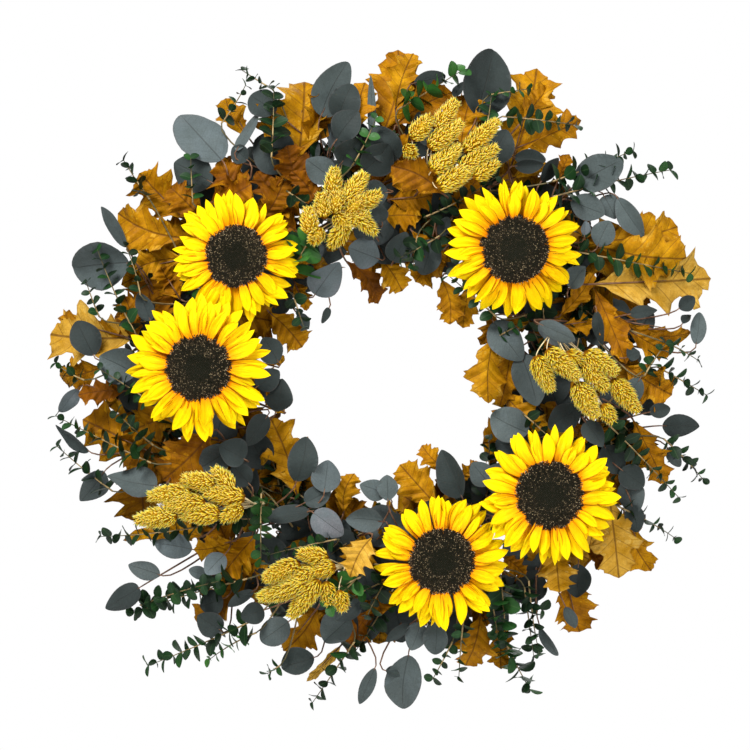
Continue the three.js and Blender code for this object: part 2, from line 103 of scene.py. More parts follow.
# Leaves: foot x, foot z, tip x, tip z, width, then colour (0 to 1) and level where they
# differ from their kind's own.
OAK_LEAVES = [
    [-184, 148, -226, 190, 44, 0.5], [-182, 130, -247, 154, 46, 0.55], [-184, 112, -230, 102, 30],
    [-126, 224, -148, 262, 28, 0.55], [-124, 172, -152, 203, 38, 0.3],
    [-100, 155, -118, 192, 30, 0.2], [-100, 196, -108, 262, 28, 0.5],
    [-80, 200, -74, 280, 52, 0.62], [-78, 178, -90, 216, 34, 0.2], [-64, 156, -86, 192, 28, 0.2],
    [-2, 226, 12, 303, 48, 0.46], [10, 234, 62, 264, 36, 0.38], [-4, 180, 40, 198, 34, 0.45],
    [4, 166, 44, 170, 28, 0.5], [-4, 150, 34, 150, 27, 0.5], [24, 138, 54, 108, 18, 0.5],
    [116, 196, 142, 292, 52, 0.6], [122, 214, 182, 240, 34, 0.5], [198, 122, 279, 112, 54, 0.62],
    [192, 88, 306, 94, 56, 0.88, 0.94], [192, 86, 222, 14, 26, 0.4], [220, 54, 284, 44, 18, 0.5],
    [220, 14, 264, -14, 40, 0.5], [160, 58, 192, 98, 18, 0.5], [160, 50, 202, 56, 18, 0.5],
    [228, -36, 258, -96, 30, 0.45], [206, -106, 215, -182, 46, 0.82, 0.88],
    [220, -120, 246, -176, 32, 0.6], [156, -150, 160, -195, 36, 0.74, 0.95],
    [166, -180, 180, -234, 38, 0.45], [88, -216, 74, -264, 38, 0.5],
    [110, -222, 107, -266, 28, 0.5], [-8, -210, -34, -250, 28, 0.2],
    [-62, -210, -94, -250, 38, 0.55], [-118, -142, -150, -180, 34, 0.5],
    [-138, -148, -176, -156, 24, 0.6], [-168, -144, -242, -148, 13, 0.6],
    [-20, -140, -28, -181, 32, 0.55], [-158, -46, -204, -92, 46, 0.35],
    [-204, -72, -280, -36, 56, 0.5], [-238, -10, -282, -14, 24, 0.2],
    [-224, 40, -311, 42, 54, 0.84], [-260, 12, -302, 4, 28, 0.5], [-230, 32, -240, 78, 22, 0.4],
    [-80, -108, -106, -34, 44, 0.62], [48, -116, 14, -78, 36, 0.6], [-106, 62, -76, 30, 34, 0.55],
    [-36, 110, -6, 70, 22, 0.15], [-4, 112, 16, 82, 28, 0.6], [52, 94, 60, 51, 26, 0.5],
    [80, 90, 72, 48, 24, 0.55], [101, 42, 95, -22, 34, 0.62, 0.92], [116, 30, 106, -24, 26, 0.5],
    [108, -10, 150, -46, 32, 0.6], [118, 186, 154, 196, 12], [158, 180, 170, 208, 18],
    [134, 44, 162, 34, 18, 0.3], [184, -154, 210, -176, 16, 0.2], [-40, -244, -73, -279, 9, 0.9],
    [-92, -30, -112, -16, 14], [-38, -122, -28, -86, 24], [60, -86, 34, -60, 20],
    [66, -92, 86, -76, 16], [-112, 26, -92, 18, 14], [100, 66, 88, 32, 18],
    [164, -36, 186, -58, 16, 0.35], [-84, 92, -72, 64, 16], [212, -82, 230, -78, 12],
    [108, -162, 130, -180, 18, 0.45], [-188, 74, -206, 104, 28], [196, -46, 212, -54, 12],
    [202, -116, 188, -152, 24, 0.82, 0.86], [30, 190, -8, 224, 40, 0.4],
    [-30, 166, 2, 196, 34, 0.3], [62, 150, 84, 184, 34, 0.45], [-14, -176, -2, -216, 30, 0.4],
    [60, 126, 28, 90, 32, 0.5], [-128, 10, -98, -8, 24, 0.4], [224, 46, 264, 24, 26, 0.45],
    [-190, -68, -242, -88, 28, 0.4], [-168, 148, -198, 178, 34, 0.35],
    [128, 240, 154, 272, 26, 0.5], [-162, 162, -122, 180, 36, 0.3, 0.8],
    [-118, 160, -148, 188, 32, 0.4], [-112, 148, -92, 186, 32, 0.3], [10, 250, 26, 300, 30, 0.6],
    [200, 128, 272, 142, 40, 0.6], [-240, 40, -306, 58, 26, 0.5], [196, -76, 224, -114, 28, 0.4],
    [-70, 214, -56, 264, 34, 0.45], [-32, 224, -18, 274, 32, 0.5], [70, 214, 80, 264, 34, 0.5],
    [54, 170, 6, 196, 40, 0.35, 1.12], [-12, -144, -32, -180, 32, 0.85, 1.2],
    [-122, -176, -174, -228, 34, 0.42, 0.62], [-104, -162, -132, -176, 24, 0.5, 0.6],
    [-80, 136, -116, 166, 34, 0.35, 0.62], [-70, 178, -100, 152, 30, 0.4, 0.58],
]
EUCALYPTUS_LEAVES = [
    [-148, 200, -190, 246, 47, 0.7, 0.9], [-156, 180, -194, 200, 36, 0.25],
    [-138, 208, -116, 246, 14, 0.6], [-98, 244, -124, 262, 28, 0.2],
    [-236, 120, -262, 160, 13, 0.4], [-232, 108, -287, 103, 47, 0.6, 0.85],
    [-266, 20, -284, 55, 28, 0.15], [-226, 4, -262, 22, 36, 0.6], [-281, -6, -300, -30, 15, 0.85],
    [-270, -67, -302, -43, 12, 0.3], [-256, -82, -281, -112, 26, 0.6],
    [-206, -98, -255, -88, 32, 0.6], [-214, 52, -226, 80, 18, 0.4], [-140, -62, -176, -84, 28, 0.6],
    [-126, -74, -152, -60, 26, 0.2], [-106, -30, -126, -60, 22, 0.15],
    [-101, -32, -94, 1, 29, 0.15], [-174, -156, -212, -150, 25, 0.8],
    [-204, -180, -236, -170, 17, 0.6], [-224, -190, -258, -211, 22, 0.25],
    [-145, -158, -164, -178, 20, 0.85], [-148, -232, -172, -216, 24, 0.2],
    [-86, -220, -114, -240, 26, 0.6], [-62, -254, -95, -264, 26, 0.2],
    [-30, -216, -56, -240, 32, 0.6], [-66, -120, -108, -128, 16, 0.2],
    [-68, -120, -38, -142, 26, 0.95], [1, -130, -36, -128, 24, 0.6], [34, -220, 24, -248, 22, 0.6],
    [48, -218, 46, -252, 22, 0.55], [22, -250, 17, -306, 36, 0.6], [-8, -262, -23, -298, 14, 0.5],
    [178, -166, 176, -200, 26, 0.2], [142, -225, 160, -255, 8, 0.6],
    [222, -88, 230, -124, 27, 0.55], [226, -112, 232, -140, 18, 0.15],
    [98, -204, 112, -228, 22, 0.2], [98, 56, 126, 18, 30, 0.6], [124, 26, 140, -24, 32, 0.5],
    [138, 52, 174, 34, 18, 0.85], [134, -50, 98, -32, 34, 0.6], [182, -24, 150, -44, 26, 0.2],
    [182, -36, 200, -62, 18, 0.2], [200, -58, 216, -86, 26, 0.15], [214, -80, 238, -98, 24, 0.15],
    [252, -42, 290, -43, 26, 0.2], [286, 30, 290, 62, 16, 0.6], [236, 4, 216, -26, 20, 0.4],
    [168, 82, 184, 104, 20, 0.5], [84, 240, 100, 302, 48, 0.15, 0.85], [96, 194, 112, 230, 28, 0.2],
    [174, 178, 218, 202, 34, 0.45], [168, 166, 202, 152, 26, 0.5], [200, 172, 212, 148, 24, 0.6],
    [212, 170, 238, 132, 22, 0.6], [194, 120, 206, 146, 24, 0.5], [-60, 240, -34, 292, 34, 0.35],
    [-46, 218, -24, 246, 28, 0.2], [-44, 182, -72, 202, 28, 0.6], [-2, 110, -34, 122, 32, 0.8],
    [-66, 76, -42, 108, 32, 0.85], [6, 106, 20, 136, 26, 0.2], [24, 272, 56, 280, 16, 0.15],
    [-82, -96, -72, -52, 26, 0.2], [-56, -106, -52, -74, 26, 0.7], [4, -106, -23, -96, 20, 0.6],
    [3, -114, 2, -87, 20, 0.6], [72, -110, 52, -64, 24, 0.15], [98, -98, 80, -76, 22, 0.6],
    [-124, 200, -140, 214, 18, 0.3], [-122, -98, -140, -78, 22, 0.15], [-162, -180, -180, -174, 12],
    [-146, -200, -170, -208, 24, 0.15], [-118, -192, -144, -208, 12],
    [-108, -210, -132, -218, 20, 0.15], [-20, -200, -44, -220, 16, 0.4],
    [26, -222, 1, -240, 10, 0.1], [-2, -266, 14, -272, 9, 0.3], [165, -206, 175, -228, 12],
    [240, -30, 262, -26, 14, 0.15], [272, 50, 282, 60, 10, 0.15], [222, 60, 250, 64, 12, 0.15],
    [220, 20, 234, 26, 14, 0.15], [258, -60, 272, -80, 12], [194, 66, 200, 32, 10, 0.15],
    [116, 196, 146, 198, 14, 0.15], [142, 180, 160, 204, 14, 0.15], [-52, 210, -42, 241, 10, 0.85],
    [-2, 142, -6, 162, 16], [-6, 128, -20, 146, 18, 0.15], [-12, 222, -13, 280, 8, 0.5],
    [50, 130, 58, 150, 12], [-82, 63, -70, 47, 10], [-50, 69, -58, 52, 7],
    [-76, -114, -50, -100, 20], [62, 258, 72, 274, 10, 0.1], [183, 130, 184, 146, 10, 0.85],
    [-22, 188, 4, 216, 32, 0.1], [14, 200, -12, 232, 30, 0.2], [28, 170, 54, 200, 30, 0.1],
    [6, 172, -24, 170, 26, 0.3], [52, 214, 30, 246, 30, 0.15], [44, 132, 34, 96, 26, 0.4],
    [-120, -8, -97, 8, 22, 0.2], [-44, 238, -30, 272, 30, 0.15], [-42, 196, -22, 222, 28, 0.15],
    [116, 205, 148, 202, 17, 0.15], [268, 64, 285, 76, 15, 0.15], [-20, -168, -14, -202, 24, 0.2],
    [-96, 14, -112, 40, 22, 0.3], [138, 53, 174, 36, 17, 0.62, 1.2],
    [42, 206, 22, 238, 30, 0.08, 0.5], [150, -60, 128, -84, 24, 0.1, 0.5],
]
SPRIGS = [
    [-104, 204, -102, 268, 26, 0.1, 1.06], [-216, 166, -241, 203, 22], [-228, 42, -264, 120, 20],
    [-224, 78, -238, 124, 16], [-212, -22, -262, 10, 18], [-214, -76, -304, -33, 22],
    [-250, -102, -303, -61, 22], [-112, -128, -168, -132, 24], [-168, -134, -262, -144, 22, 0.1],
    [-126, -182, -232, -215, 26], [-124, -222, -219, -264, 25], [-118, -232, -162, -258, 16, 0.7],
    [-28, -240, -67, -298, 22], [-44, -146, -106, -160, 16], [72, -220, 68, -273, 14],
    [106, -180, 112, -250, 32], [112, -244, 134, -286, 26], [132, -184, 142, -252, 16],
    [214, -116, 268, -146, 20], [204, -40, 270, -108, 22], [256, -54, 294, -92, 20],
    [250, 12, 296, -14, 20], [174, 118, 282, 98, 22, 0.3, 1.0], [154, 168, 264, 194, 24],
    [154, 182, 230, 212, 22], [108, 242, 176, 234, 22], [38, 150, 102, 186, 20],
    [12, 248, 70, 284, 30, 0.72], [-30, 196, -8, 240, 20, 0.7], [-88, 98, -64, 138, 34, 0.8, 1.12],
    [102, 58, 58, 96, 18], [-176, 162, -178, 204, 18], [-104, 268, -132, 286, 14],
    [-262, 58, -274, 90, 16], [-276, 0, -304, 16, 16], [-212, -60, -246, -30, 22],
    [-96, -262, -108, -270, 10], [-113, -104, -113, -166, 22, 0.6, 1.16],
    [-26, -182, -52, -206, 24, 0.9, 1.2], [62, -240, 44, -274, 14], [238, 4, 258, 34, 18],
    [258, 34, 288, 18, 16], [96, 262, 132, 268, 14], [50, 132, 14, 112, 22, 0.1],
    [128, -32, 156, -58, 16, 0.0], [104, 40, 122, 50, 14], [-226, -208, -152, -184, 20, 0.1],
    [-88, 172, -70, 160, 18], [96, -196, 104, -242, 24], [6, -176, -16, -216, 22],
    [-84, 78, -74, 48, 18], [30, 132, 26, 104, 20], [128, -190, 137, -254, 22],
    [0, -184, -38, -202, 20], [-150, 236, -128, 272, 18], [92, 226, 98, 262, 20],
    [-22, -180, -58, -197, 20, 0.5, 1.24],
]

# Seed bunches: x and z of the knot, the ring that the stems leave, and the heads as foot x,
# foot z, tip x, tip z, width
SEED_BUNCHES = [
    (-38, 150, 160, [
        [-48, 166, -46, 194, 15], [-37, 162, -17, 190, 18], [-28, 157, -3, 171, 15],
        [-55, 148, -58, 170, 16], [-68, 132, -70, 158, 15], [-38, 144, -14, 152, 14],
        [-36, 140, -50, 122, 15], [-58, 138, -66, 126, 13], [-44, 152, -34, 136, 14],
        [-24, 148, -8, 134, 12], [-46, 152, -41, 174, 17], [-34, 150, -20, 166, 15]]),
    (40, 184, 197, [
        [46, 228, 66, 256, 15], [25, 220, 42, 240, 17], [40, 212, 72, 236, 19],
        [73, 208, 105, 238, 17], [42, 190, 70, 215, 19], [68, 192, 105, 214, 15],
        [48, 175, 85, 197, 19], [18, 213, 26, 206, 10], [80, 184, 104, 200, 14]]),
    (154, 46, 160, [
        [138, 22, 152, -12, 19], [148, 27, 178, 0, 20], [182, 24, 213, 6, 20],
        [182, 15, 203, -10, 20], [175, -3, 193, -35, 23], [208, 0, 232, -30, 19],
        [165, 25, 183, 15, 12], [198, -22, 208, -38, 12]]),
    (-118, -114, 160, [
        [-176, -104, -218, -106, 20], [-190, -123, -229, -128, 20], [-150, -122, -190, -122, 19],
        [-155, -95, -186, -90, 18], [-128, -108, -168, -102, 19], [-138, -100, -157, -80, 15],
        [-130, -116, -149, -127, 14], [-164, -112, -203, -115, 18]]),
    (-38, -170, 178, [
        [-78, -168, -112, -182, 20], [-72, -184, -118, -200, 21], [-60, -182, -88, -218, 19],
        [-52, -163, -80, -158, 16], [-45, -170, -75, -176, 16], [-54, -184, -50, -206, 14],
        [-42, -192, -38, -210, 13], [-64, -173, -97, -190, 18]]),
]
KNOT_Y = -82
HEAD_Y = -103
BRACT_AREA = 1.55

# Sunflowers: x, z, reach of the petals, radius of the seed disc and y of the front
SUNFLOWERS = [
    (-136, 113, 60, 28, -98), (-170, 11, 66, 30, -107), (118, 120, 63, 31, -100),
    (150, -105, 64, 31, -107), (52, -166, 61, 30, -98),
]
# Each layer of petals: how many, their length as a share, y, and turn as a share of a step
PETAL_LAYERS = [(24, 1.0, -0.6, 0.0), (24, 0.98, -3.2, 0.5), (17, 0.86, -5.4, 0.25)]
FLORETS = 1800
CALYX_BRACTS = 26
CORE = 0.4
GOLDEN_ANGLE = math.radians(137.508)


# ---- small helpers
def unit(v):
    return np.asarray(v, float) / max(np.linalg.norm(v), 1e-9)


def on_ring(radius, degrees):
    angle = math.radians(degrees)
    return radius * math.cos(angle), radius * math.sin(angle)


def ring_path(radius, y, steps, middle=(0, 0, 0)):
    """Points round a circle that faces the front."""
    places = [on_ring(radius, 360 * k / steps) for k in range(steps)]
    return [(middle[0] + x, middle[1] + y, middle[2] + z) for x, z in places]


def angle_of(x, z):
    return math.degrees(math.atan2(z, x)) % 360


def surface_y(x, z, level):
    """How far forward the foliage reaches at a place on the wreath's face."""
    across = (math.hypot(x, z) - RING_RADIUS) / SURFACE_REACH
    rise = math.sqrt(max(0.0, 1 - across * across))
    return -level * (SURFACE_EDGE + SURFACE_RISE * rise)


def smooth_path(points, steps):
    """A Catmull-Rom curve through the points."""
    p = np.asarray(points, float)
    p = np.vstack([2 * p[0] - p[1], p, 2 * p[-1] - p[-2]])
    out = []
    for a, b, c, d in zip(p, p[1:], p[2:], p[3:]):
        for t in np.linspace(0, 1, steps, endpoint=False):
            out.append(0.5 * (2 * b + (c - a) * t + (2 * a - 5 * b + 4 * c - d) * t * t
                              + (3 * b - a - 3 * c + d) * t ** 3))
    out.append(p[-2])
    return np.array(out)


def hermite(start, start_way, end, end_way, steps):
    """A curve that leaves its start and meets its end in the given ways."""
    t = np.linspace(0, 1, steps)[:, None]
    return ((2 * t ** 3 - 3 * t ** 2 + 1) * start + (t ** 3 - 2 * t ** 2 + t) * start_way
            + (3 * t ** 2 - 2 * t ** 3) * end + (t ** 3 - t ** 2) * end_way)


def new_object(name, data):
    made = bpy.data.objects.new(name, data)
    bpy.context.scene.collection.objects.link(made)
    return made


def loft_faces(rings, sides, closed=False, flip=False):
    """The faces between rings of points, and over both ends unless the rings close."""
    faces = []
    for i in range(rings if closed else rings - 1):
        j = (i + 1) % rings
        for k in range(sides):
            m = (k + 1) % sides
            faces.append((i * sides + k, i * sides + m, j * sides + m, j * sides + k))
    if not closed:
        faces.append(tuple(range(sides))[::-1])
        faces.append(tuple((rings - 1) * sides + k for k in range(sides)))
    return [face[::-1] for face in faces] if flip else faces


class Builder:
    """Gathers the faces of one piece, each point with its place on its leaf and its tone."""

    def __init__(self):
        self.points, self.faces, self.slots, self.leaf, self.tone = [], [], [], [], []
        self.count = 0

    def add(self, points, faces, leaf, tone, slot=0):
        points = np.asarray(points, float).reshape(-1, 3)
        n = len(points)
        self.points.append(points)
        self.faces.extend([tuple(int(i) + self.count for i in f) for f in faces])
        self.slots.extend([slot] * len(faces))
        self.leaf.append(np.broadcast_to(np.asarray(leaf, float), (n, 3)))
        self.tone.append(np.broadcast_to(np.asarray(tone, float), (n, 3)))
        self.count += n

    def tube(self, path, radii, sides=6, tone=(0.5, 1, 0), slot=0, closed=False):
        """A round rod along a path, or a ring if it's closed."""
        path = np.asarray(path, float)
        n = len(path)
        radii = np.broadcast_to(np.asarray(radii, float), (n,))
        if closed:
            ways = np.roll(path, -1, 0) - np.roll(path, 1, 0)
        else:
            ways = np.gradient(path, axis=0)
        steep = abs(unit(ways[0])[1]) >= 0.9
        up = np.array([1.0, 0, 0]) if steep else np.array([0.0, 1.0, 0.0])
        rings, leaf = [], []
        for i in range(n):
            way = unit(ways[i])
            up = unit(up - way * np.dot(up, way))
            side = np.cross(way, up)
            for k in range(sides):
                a = 2 * math.pi * k / sides
                rings.append(path[i] + radii[i] * (math.cos(a) * up + math.sin(a) * side))
                leaf.append((i / n, k / sides, 0))
        self.add(rings, loft_faces(n, sides, closed), leaf, tone, slot)

    def bar(self, path, across, half_width, half_thickness):
        """A flat bar with rounded edges along a path."""
        ways = np.gradient(path, axis=0)
        corner = [(1, 0.35), (0.85, 1), (-0.85, 1), (-1, 0.35)]
        section = corner + [(-a, -b) for a, b in corner]
        points = []
        for p, way in zip(path, ways):
            up = unit(np.cross(unit(way), across))
            points += [p + across * a * half_width + up * b * half_thickness for a, b in section]
        self.add(points, loft_faces(len(path), len(section)), (0, 0, 0), (0.5, 1, 0))

    def blade(self, foot, tip, half, outline, facing=FRONT,
              columns=(-1, -0.62, -0.3, 0, 0.3, 0.62, 1), bow=0.0, fold=0.0, cup=0.0, curl=0.0,
              twist=(0.0, 0.0), wave=(0.0, 1.0, 0.0), ridge=(0.0, 1.0, 0.0), sweep=0.0,
              bend=0.0, thickness=0.35, tone=(0.5, 1.0)):
        """A leaf: a front and a back sheet that meet at its edge.

        It bows, curls and bends along its length; folds, cups and ripples across it. A twist
        and a wave are given as start and rate, a ridge as height, rate and start."""
        foot, tip = np.asarray(foot, float), np.asarray(tip, float)
        length = np.linalg.norm(tip - foot)
        way = (tip - foot) / max(length, 1e-6)
        normal = unit(facing - way * np.dot(facing, way))
        across = np.cross(normal, way)
        u = outline[0]
        s = np.asarray(columns, float)[None, :]
        width = np.where(s < 0, outline[1][:, None], outline[2][:, None])
        reach = np.abs(s) * width * half
        roll = twist[0] + twist[1] * u
        side = across[None] * np.cos(roll)[:, None] + normal[None] * np.sin(roll)[:, None]
        face = normal[None] * np.cos(roll)[:, None] - across[None] * np.sin(roll)[:, None]
        arch = np.sin(math.pi * u)
        centre = (foot[None] + way[None] * (length * u)[:, None]
                  + normal[None] * (length * (bow * arch + curl * u ** 3))[:, None]
                  + across[None] * (length * bend * arch)[:, None])
        ripple = np.sin(wave[1] * u[:, None] * 2 * math.pi + wave[2] + s * 1.3)
        height = (fold * reach + cup * s * s * width * half + wave[0] * reach * ripple
                  + ridge[0] * half * width * np.cos(s * ridge[1] + ridge[2]))
        p = (centre[:, None] + side[:, None] * (np.sign(s) * reach)[:, :, None]
             + face[:, None] * height[:, :, None]
             + way[None, None] * (sweep * reach)[:, :, None])
        rows, cols = p.shape[:2]
        along = np.broadcast_to(u[:, None], (rows, cols))
        leaf = np.stack([along, s * width, np.abs(s) + 0 * width], -1).reshape(-1, 3)
        index = np.arange(rows * cols).reshape(rows, cols)
        corners = [index[:-1, :-1], index[1:, :-1], index[1:, 1:], index[:-1, 1:]]
        front = np.stack(corners, -1).reshape(-1, 4)
        self.add(p, front, leaf, (*tone, 0))
        inside = (1 - s ** 4) * np.sin(math.pi * np.clip(u, 0.02, 0.98))[:, None] ** 0.3
        back = p - face[:, None] * (thickness * inside)[:, :, None]
        self.add(back, front[:, ::-1], leaf, (*tone, 1))

    def build(self, name, looks, node, slot, body="wreath", lift=0.0):
        """Makes the piece, which rides on a body and stands for a CAD node."""
        points = np.vstack(self.points)
        points[:, 2] += CENTRE_Z + lift
        mesh = bpy.data.meshes.new(name)
        mesh.from_pydata((points * MM).tolist(), [], self.faces)
        for look in looks:
            mesh.materials.append(LOOK[look])
        mesh.polygons.foreach_set("material_index", self.slots)
        mesh.polygons.foreach_set("use_smooth", [True] * len(self.faces))
        for label, rows in (("leaf", self.leaf), ("tone", self.tone)):
            attribute = mesh.attributes.new(label, "FLOAT_VECTOR", "POINT")
            attribute.data.foreach_set("vector", np.vstack(rows).astype(np.float32).ravel())
        mesh.update()
        piece = new_object(name, mesh)
        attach(piece, body)
        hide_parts(node)


# ---- materials
class Signal:
    """What a node gives out. Sums with it make further nodes."""

    def __init__(self, graph, socket):
        self.graph, self.socket = graph, socket

    def __add__(self, other):
        return self.graph.math("ADD", self, other)

    def __sub__(self, other):
        return self.graph.math("SUBTRACT", self, other)

    def __mul__(self, other):
        return self.graph.math("MULTIPLY", self, other)

    def __abs__(self):
        return self.graph.math("ABSOLUTE", self)


class Graph:
    """A material's node tree, with short calls for the nodes that it uses."""

    def __init__(self, name):
        self.material = bpy.data.materials.new(name)
        self.material.use_nodes = True
        self.tree = self.material.node_tree
        self.bsdf = self.tree.nodes["Principled BSDF"]

    def put(self, value, socket):
        if isinstance(value, Signal):
            self.tree.links.new(value.socket, socket)
        elif isinstance(value, tuple):
            socket.default_value = (*value, 1.0)[:len(socket.default_value)]
        else:
            socket.default_value = value

    def node(self, kind, *inputs, **settings):
        n = self.tree.nodes.new("ShaderNode" + kind)
        for name, value in settings.items():
            setattr(n, name, value)
        for value, socket in zip(inputs, n.inputs):
            self.put(value, socket)
        return n

    def math(self, operation, a, b=0.0):
        return Signal(self, self.node("Math", a, b, operation=operation).outputs[0])

    def attribute(self, name):
        stored = self.node("Attribute", attribute_name=name).outputs["Vector"]
        return [Signal(self, s) for s in self.node("SeparateXYZ", Signal(self, stored)).outputs]

    def place(self, x, y, z):
        return Signal(self, self.node("CombineXYZ", x, y, z).outputs[0])

    def object_place(self):
        return Signal(self, self.node("TexCoord").outputs["Object"])

    def noise(self, scale, detail, vector=None):
        n = self.node("TexNoise", vector or self.object_place())
        n.inputs["Scale"].default_value = scale
        n.inputs["Detail"].default_value = detail
        n.inputs["Roughness"].default_value = 0.6
        return Signal(self, n.outputs["Fac"])

    def net(self, scale, width):
        """A net of fine veins between cells."""
        n = self.node("TexVoronoi", self.object_place(), feature="DISTANCE_TO_EDGE")
        n.inputs["Scale"].default_value = scale
        return self.step(Signal(self, n.outputs["Distance"]), 0.0, width, 1.0, 0.0)

    def step(self, value, low, high, to_low=0.0, to_high=1.0):
        n = self.node("MapRange", value, low, high, to_low, to_high,
                      interpolation_type="SMOOTHSTEP")
        return Signal(self, n.outputs[0])

    def ramp(self, value, stops):
        n = self.node("ValToRGB", value)
        elements = n.color_ramp.elements
        while len(elements) < len(stops):
            elements.new(0.5)
        for element, (at, colour) in zip(elements, stops):
            element.position = at
            element.color = (*colour, 1)
        return Signal(self, n.outputs[0])

    def mix(self, share, a, b, blend="MIX"):
        n = self.node("Mix", share, data_type="RGBA", blend_type=blend)
        self.put(a, n.inputs[6])
        self.put(b, n.inputs[7])
        return Signal(self, n.outputs[2])

    def shaded(self, colour, value):
        return self.mix(1.0, colour, self.place(value, value, value), "MULTIPLY")

    def bump(self, height, strength, distance):
        n = self.node("Bump")
        n.inputs["Strength"].default_value = strength
        n.inputs["Distance"].default_value = distance * MM
        self.put(height, n.inputs["Height"])
        self.tree.links.new(n.outputs[0], self.bsdf.inputs["Normal"])

    def finish(self, colour, roughness, specular=0.5, **constants):
        self.put(colour, self.bsdf.inputs["Base Color"])
        self.put(roughness, self.bsdf.inputs["Roughness"])
        self.put(specular, self.bsdf.inputs["Specular IOR Level"])
        for name, value in constants.items():
            self.put(value, self.bsdf.inputs[name.replace("_", " ")])
        return self.material


def veins(g, u, v, pairs, slope, width):
    """Side veins that leave the midrib forwards: 1 on a vein, 0 between veins."""
    away = g.math("PINGPONG", u * pairs - abs(v) * slope + 20.0, 0.5)
    return g.step(away, 0.0, width, 1.0, 0.0)


def oak_material():
    g = Graph("oak_leaf")
    u, v, edge = g.attribute("leaf")
    hue, shade, under = g.attribute("tone")
    blotch = g.noise(70, 4)
    grain = g.noise(420, 3)
    base = g.ramp(hue + (blotch - 0.5) * 0.55 + under * 0.18, [
        (0.0, (0.085, 0.024, 0.001)), (0.25, (0.24, 0.076, 0.001)),
        (0.5, (0.45, 0.185, 0.001)), (0.7, (0.58, 0.28, 0.004)), (1.0, (0.70, 0.42, 0.070))])
    rib = g.step(abs(v), 0.012, 0.05, 1.0, 0.0)
    side = veins(g, u, v, 6.0, 1.1, 0.055)
    fine = g.math("MAXIMUM", side * 0.75, g.net(330, 0.10) * 0.22)
    line = g.math("MAXIMUM", rib, fine)
    colour = g.mix(line * 0.72, base, (0.12, 0.042, 0.008))
    rim = g.step(edge + blotch * 0.3, 1.0, 1.2)
    colour = g.mix(rim * 0.45, colour, (0.17, 0.058, 0.010))
    speck = g.step(grain, 0.60, 0.74, 1.0, 0.62)
    colour = g.shaded(colour, shade * speck * g.step(blotch, 0.2, 0.8, 0.8, 1.15))
    pucker = veins(g, u, v, 6.0, 1.1, 0.5) * -1.6 + blotch * 2.2
    g.bump(line * -0.5 + grain * 0.4 + pucker, 0.75, 1.0)
    return g.finish(colour, g.step(blotch, 0.2, 0.8, 0.44, 0.68), 0.07)


def eucalyptus_material():
    g = Graph("eucalyptus_leaf")
    u, v, edge = g.attribute("leaf")
    hue, shade, under = g.attribute("tone")
    blotch = g.noise(60, 3)
    grain = g.noise(700, 3)
    base = g.ramp(hue + (blotch - 0.5) * 0.4 + under * 0.1, [
        (0.0, (0.013, 0.020, 0.018)), (0.3, (0.035, 0.049, 0.047)),
        (0.6, (0.084, 0.108, 0.107)), (0.85, (0.130, 0.164, 0.175)),
        (1.0, (0.180, 0.188, 0.204))])
    rib = g.step(abs(v), 0.0, 0.045, 1.0, 0.0)
    side = veins(g, u, v, 8.0, 2.1, 0.07)
    faint = g.math("MAXIMUM", side * 0.35, g.net(420, 0.12) * 0.16)
    line = g.math("MAXIMUM", rib * g.step(u, 0.75, 1.0, 1.0, 0.2), faint)
    colour = g.mix(line * 0.55, base, (0.022, 0.024, 0.020))
    colour = g.mix(g.step(edge, 0.9, 1.0) * 0.35, colour, (0.10, 0.085, 0.085))
    colour = g.shaded(colour, shade * g.step(grain, 0.3, 0.7, 0.9, 1.08))
    g.bump(line * -0.7 + grain * 0.25 + blotch * 2.0, 0.6, 0.7)
    return g.finish(colour, g.step(blotch, 0.2, 0.8, 0.58, 0.78), 0.22, Sheen_Weight=0.05)


def green_material():
    g = Graph("green_leaf")
    _, v, edge = g.attribute("leaf")
    hue, shade, _ = g.attribute("tone")
    blotch = g.noise(90, 3)
    grain = g.noise(800, 2)
    base = g.ramp(hue + (blotch - 0.5) * 0.5, [
        (0.0, (0.006, 0.022, 0.007)), (0.35, (0.010, 0.050, 0.010)),
        (0.7, (0.024, 0.105, 0.016)), (1.0, (0.050, 0.190, 0.028))])
    rib = g.step(abs(v), 0.0, 0.10, 1.0, 0.0)
    colour = g.mix(rib * 0.3, base, (0.08, 0.16, 0.05))
    colour = g.shaded(colour, shade * g.step(edge, 0.6, 1.0, 1.0, 0.8))
    g.bump(rib * -0.6 + grain * 0.3, 0.4, 0.3)
    return g.finish(colour, g.step(grain, 0.3, 0.7, 0.42, 0.6), 0.22)


def seed_material():
    g = Graph("seed_head")
    u, v, _ = g.attribute("leaf")
    hue, shade, _ = g.attribute("tone")
    grain = g.noise(900, 3)
    # Colour along each bract: the pale tip is its own colour, and the dark foot, where the bracts
    # overlap, is painted shade.
    base = g.ramp(u, [
        (0.0, (0.17, 0.062, 0.001)), (0.3, (0.44, 0.23, 0.003)), (0.62, (0.80, 0.55, 0.025)),
        (0.85, (0.98, 0.82, 0.20)), (1.0, (1.0, 0.96, 0.56))])
    streak = g.noise(1.0, 2, g.place(u * 2.0, v * 7.0, hue * 30.0))
    colour = g.mix(g.step(streak, 0.5, 0.75, 0.0, 0.4), base, (0.62, 0.36, 0.035))
    tint = g.ramp(hue, [(0.0, (0.95, 0.86, 0.60)), (0.5, (1.0, 0.97, 0.9)), (1.0, (1.0, 1.0, 1.0))])
    colour = g.mix(1.0, colour, tint, "MULTIPLY")
    colour = g.shaded(colour, shade * g.step(grain, 0.3, 0.7, 0.9, 1.05))
    g.bump(streak * 0.8 + grain, 0.5, 0.3)
    return g.finish(colour, g.step(grain, 0.3, 0.7, 0.62, 0.8), 0.06,
                    Subsurface_Weight=0.3, Subsurface_Scale=0.002)


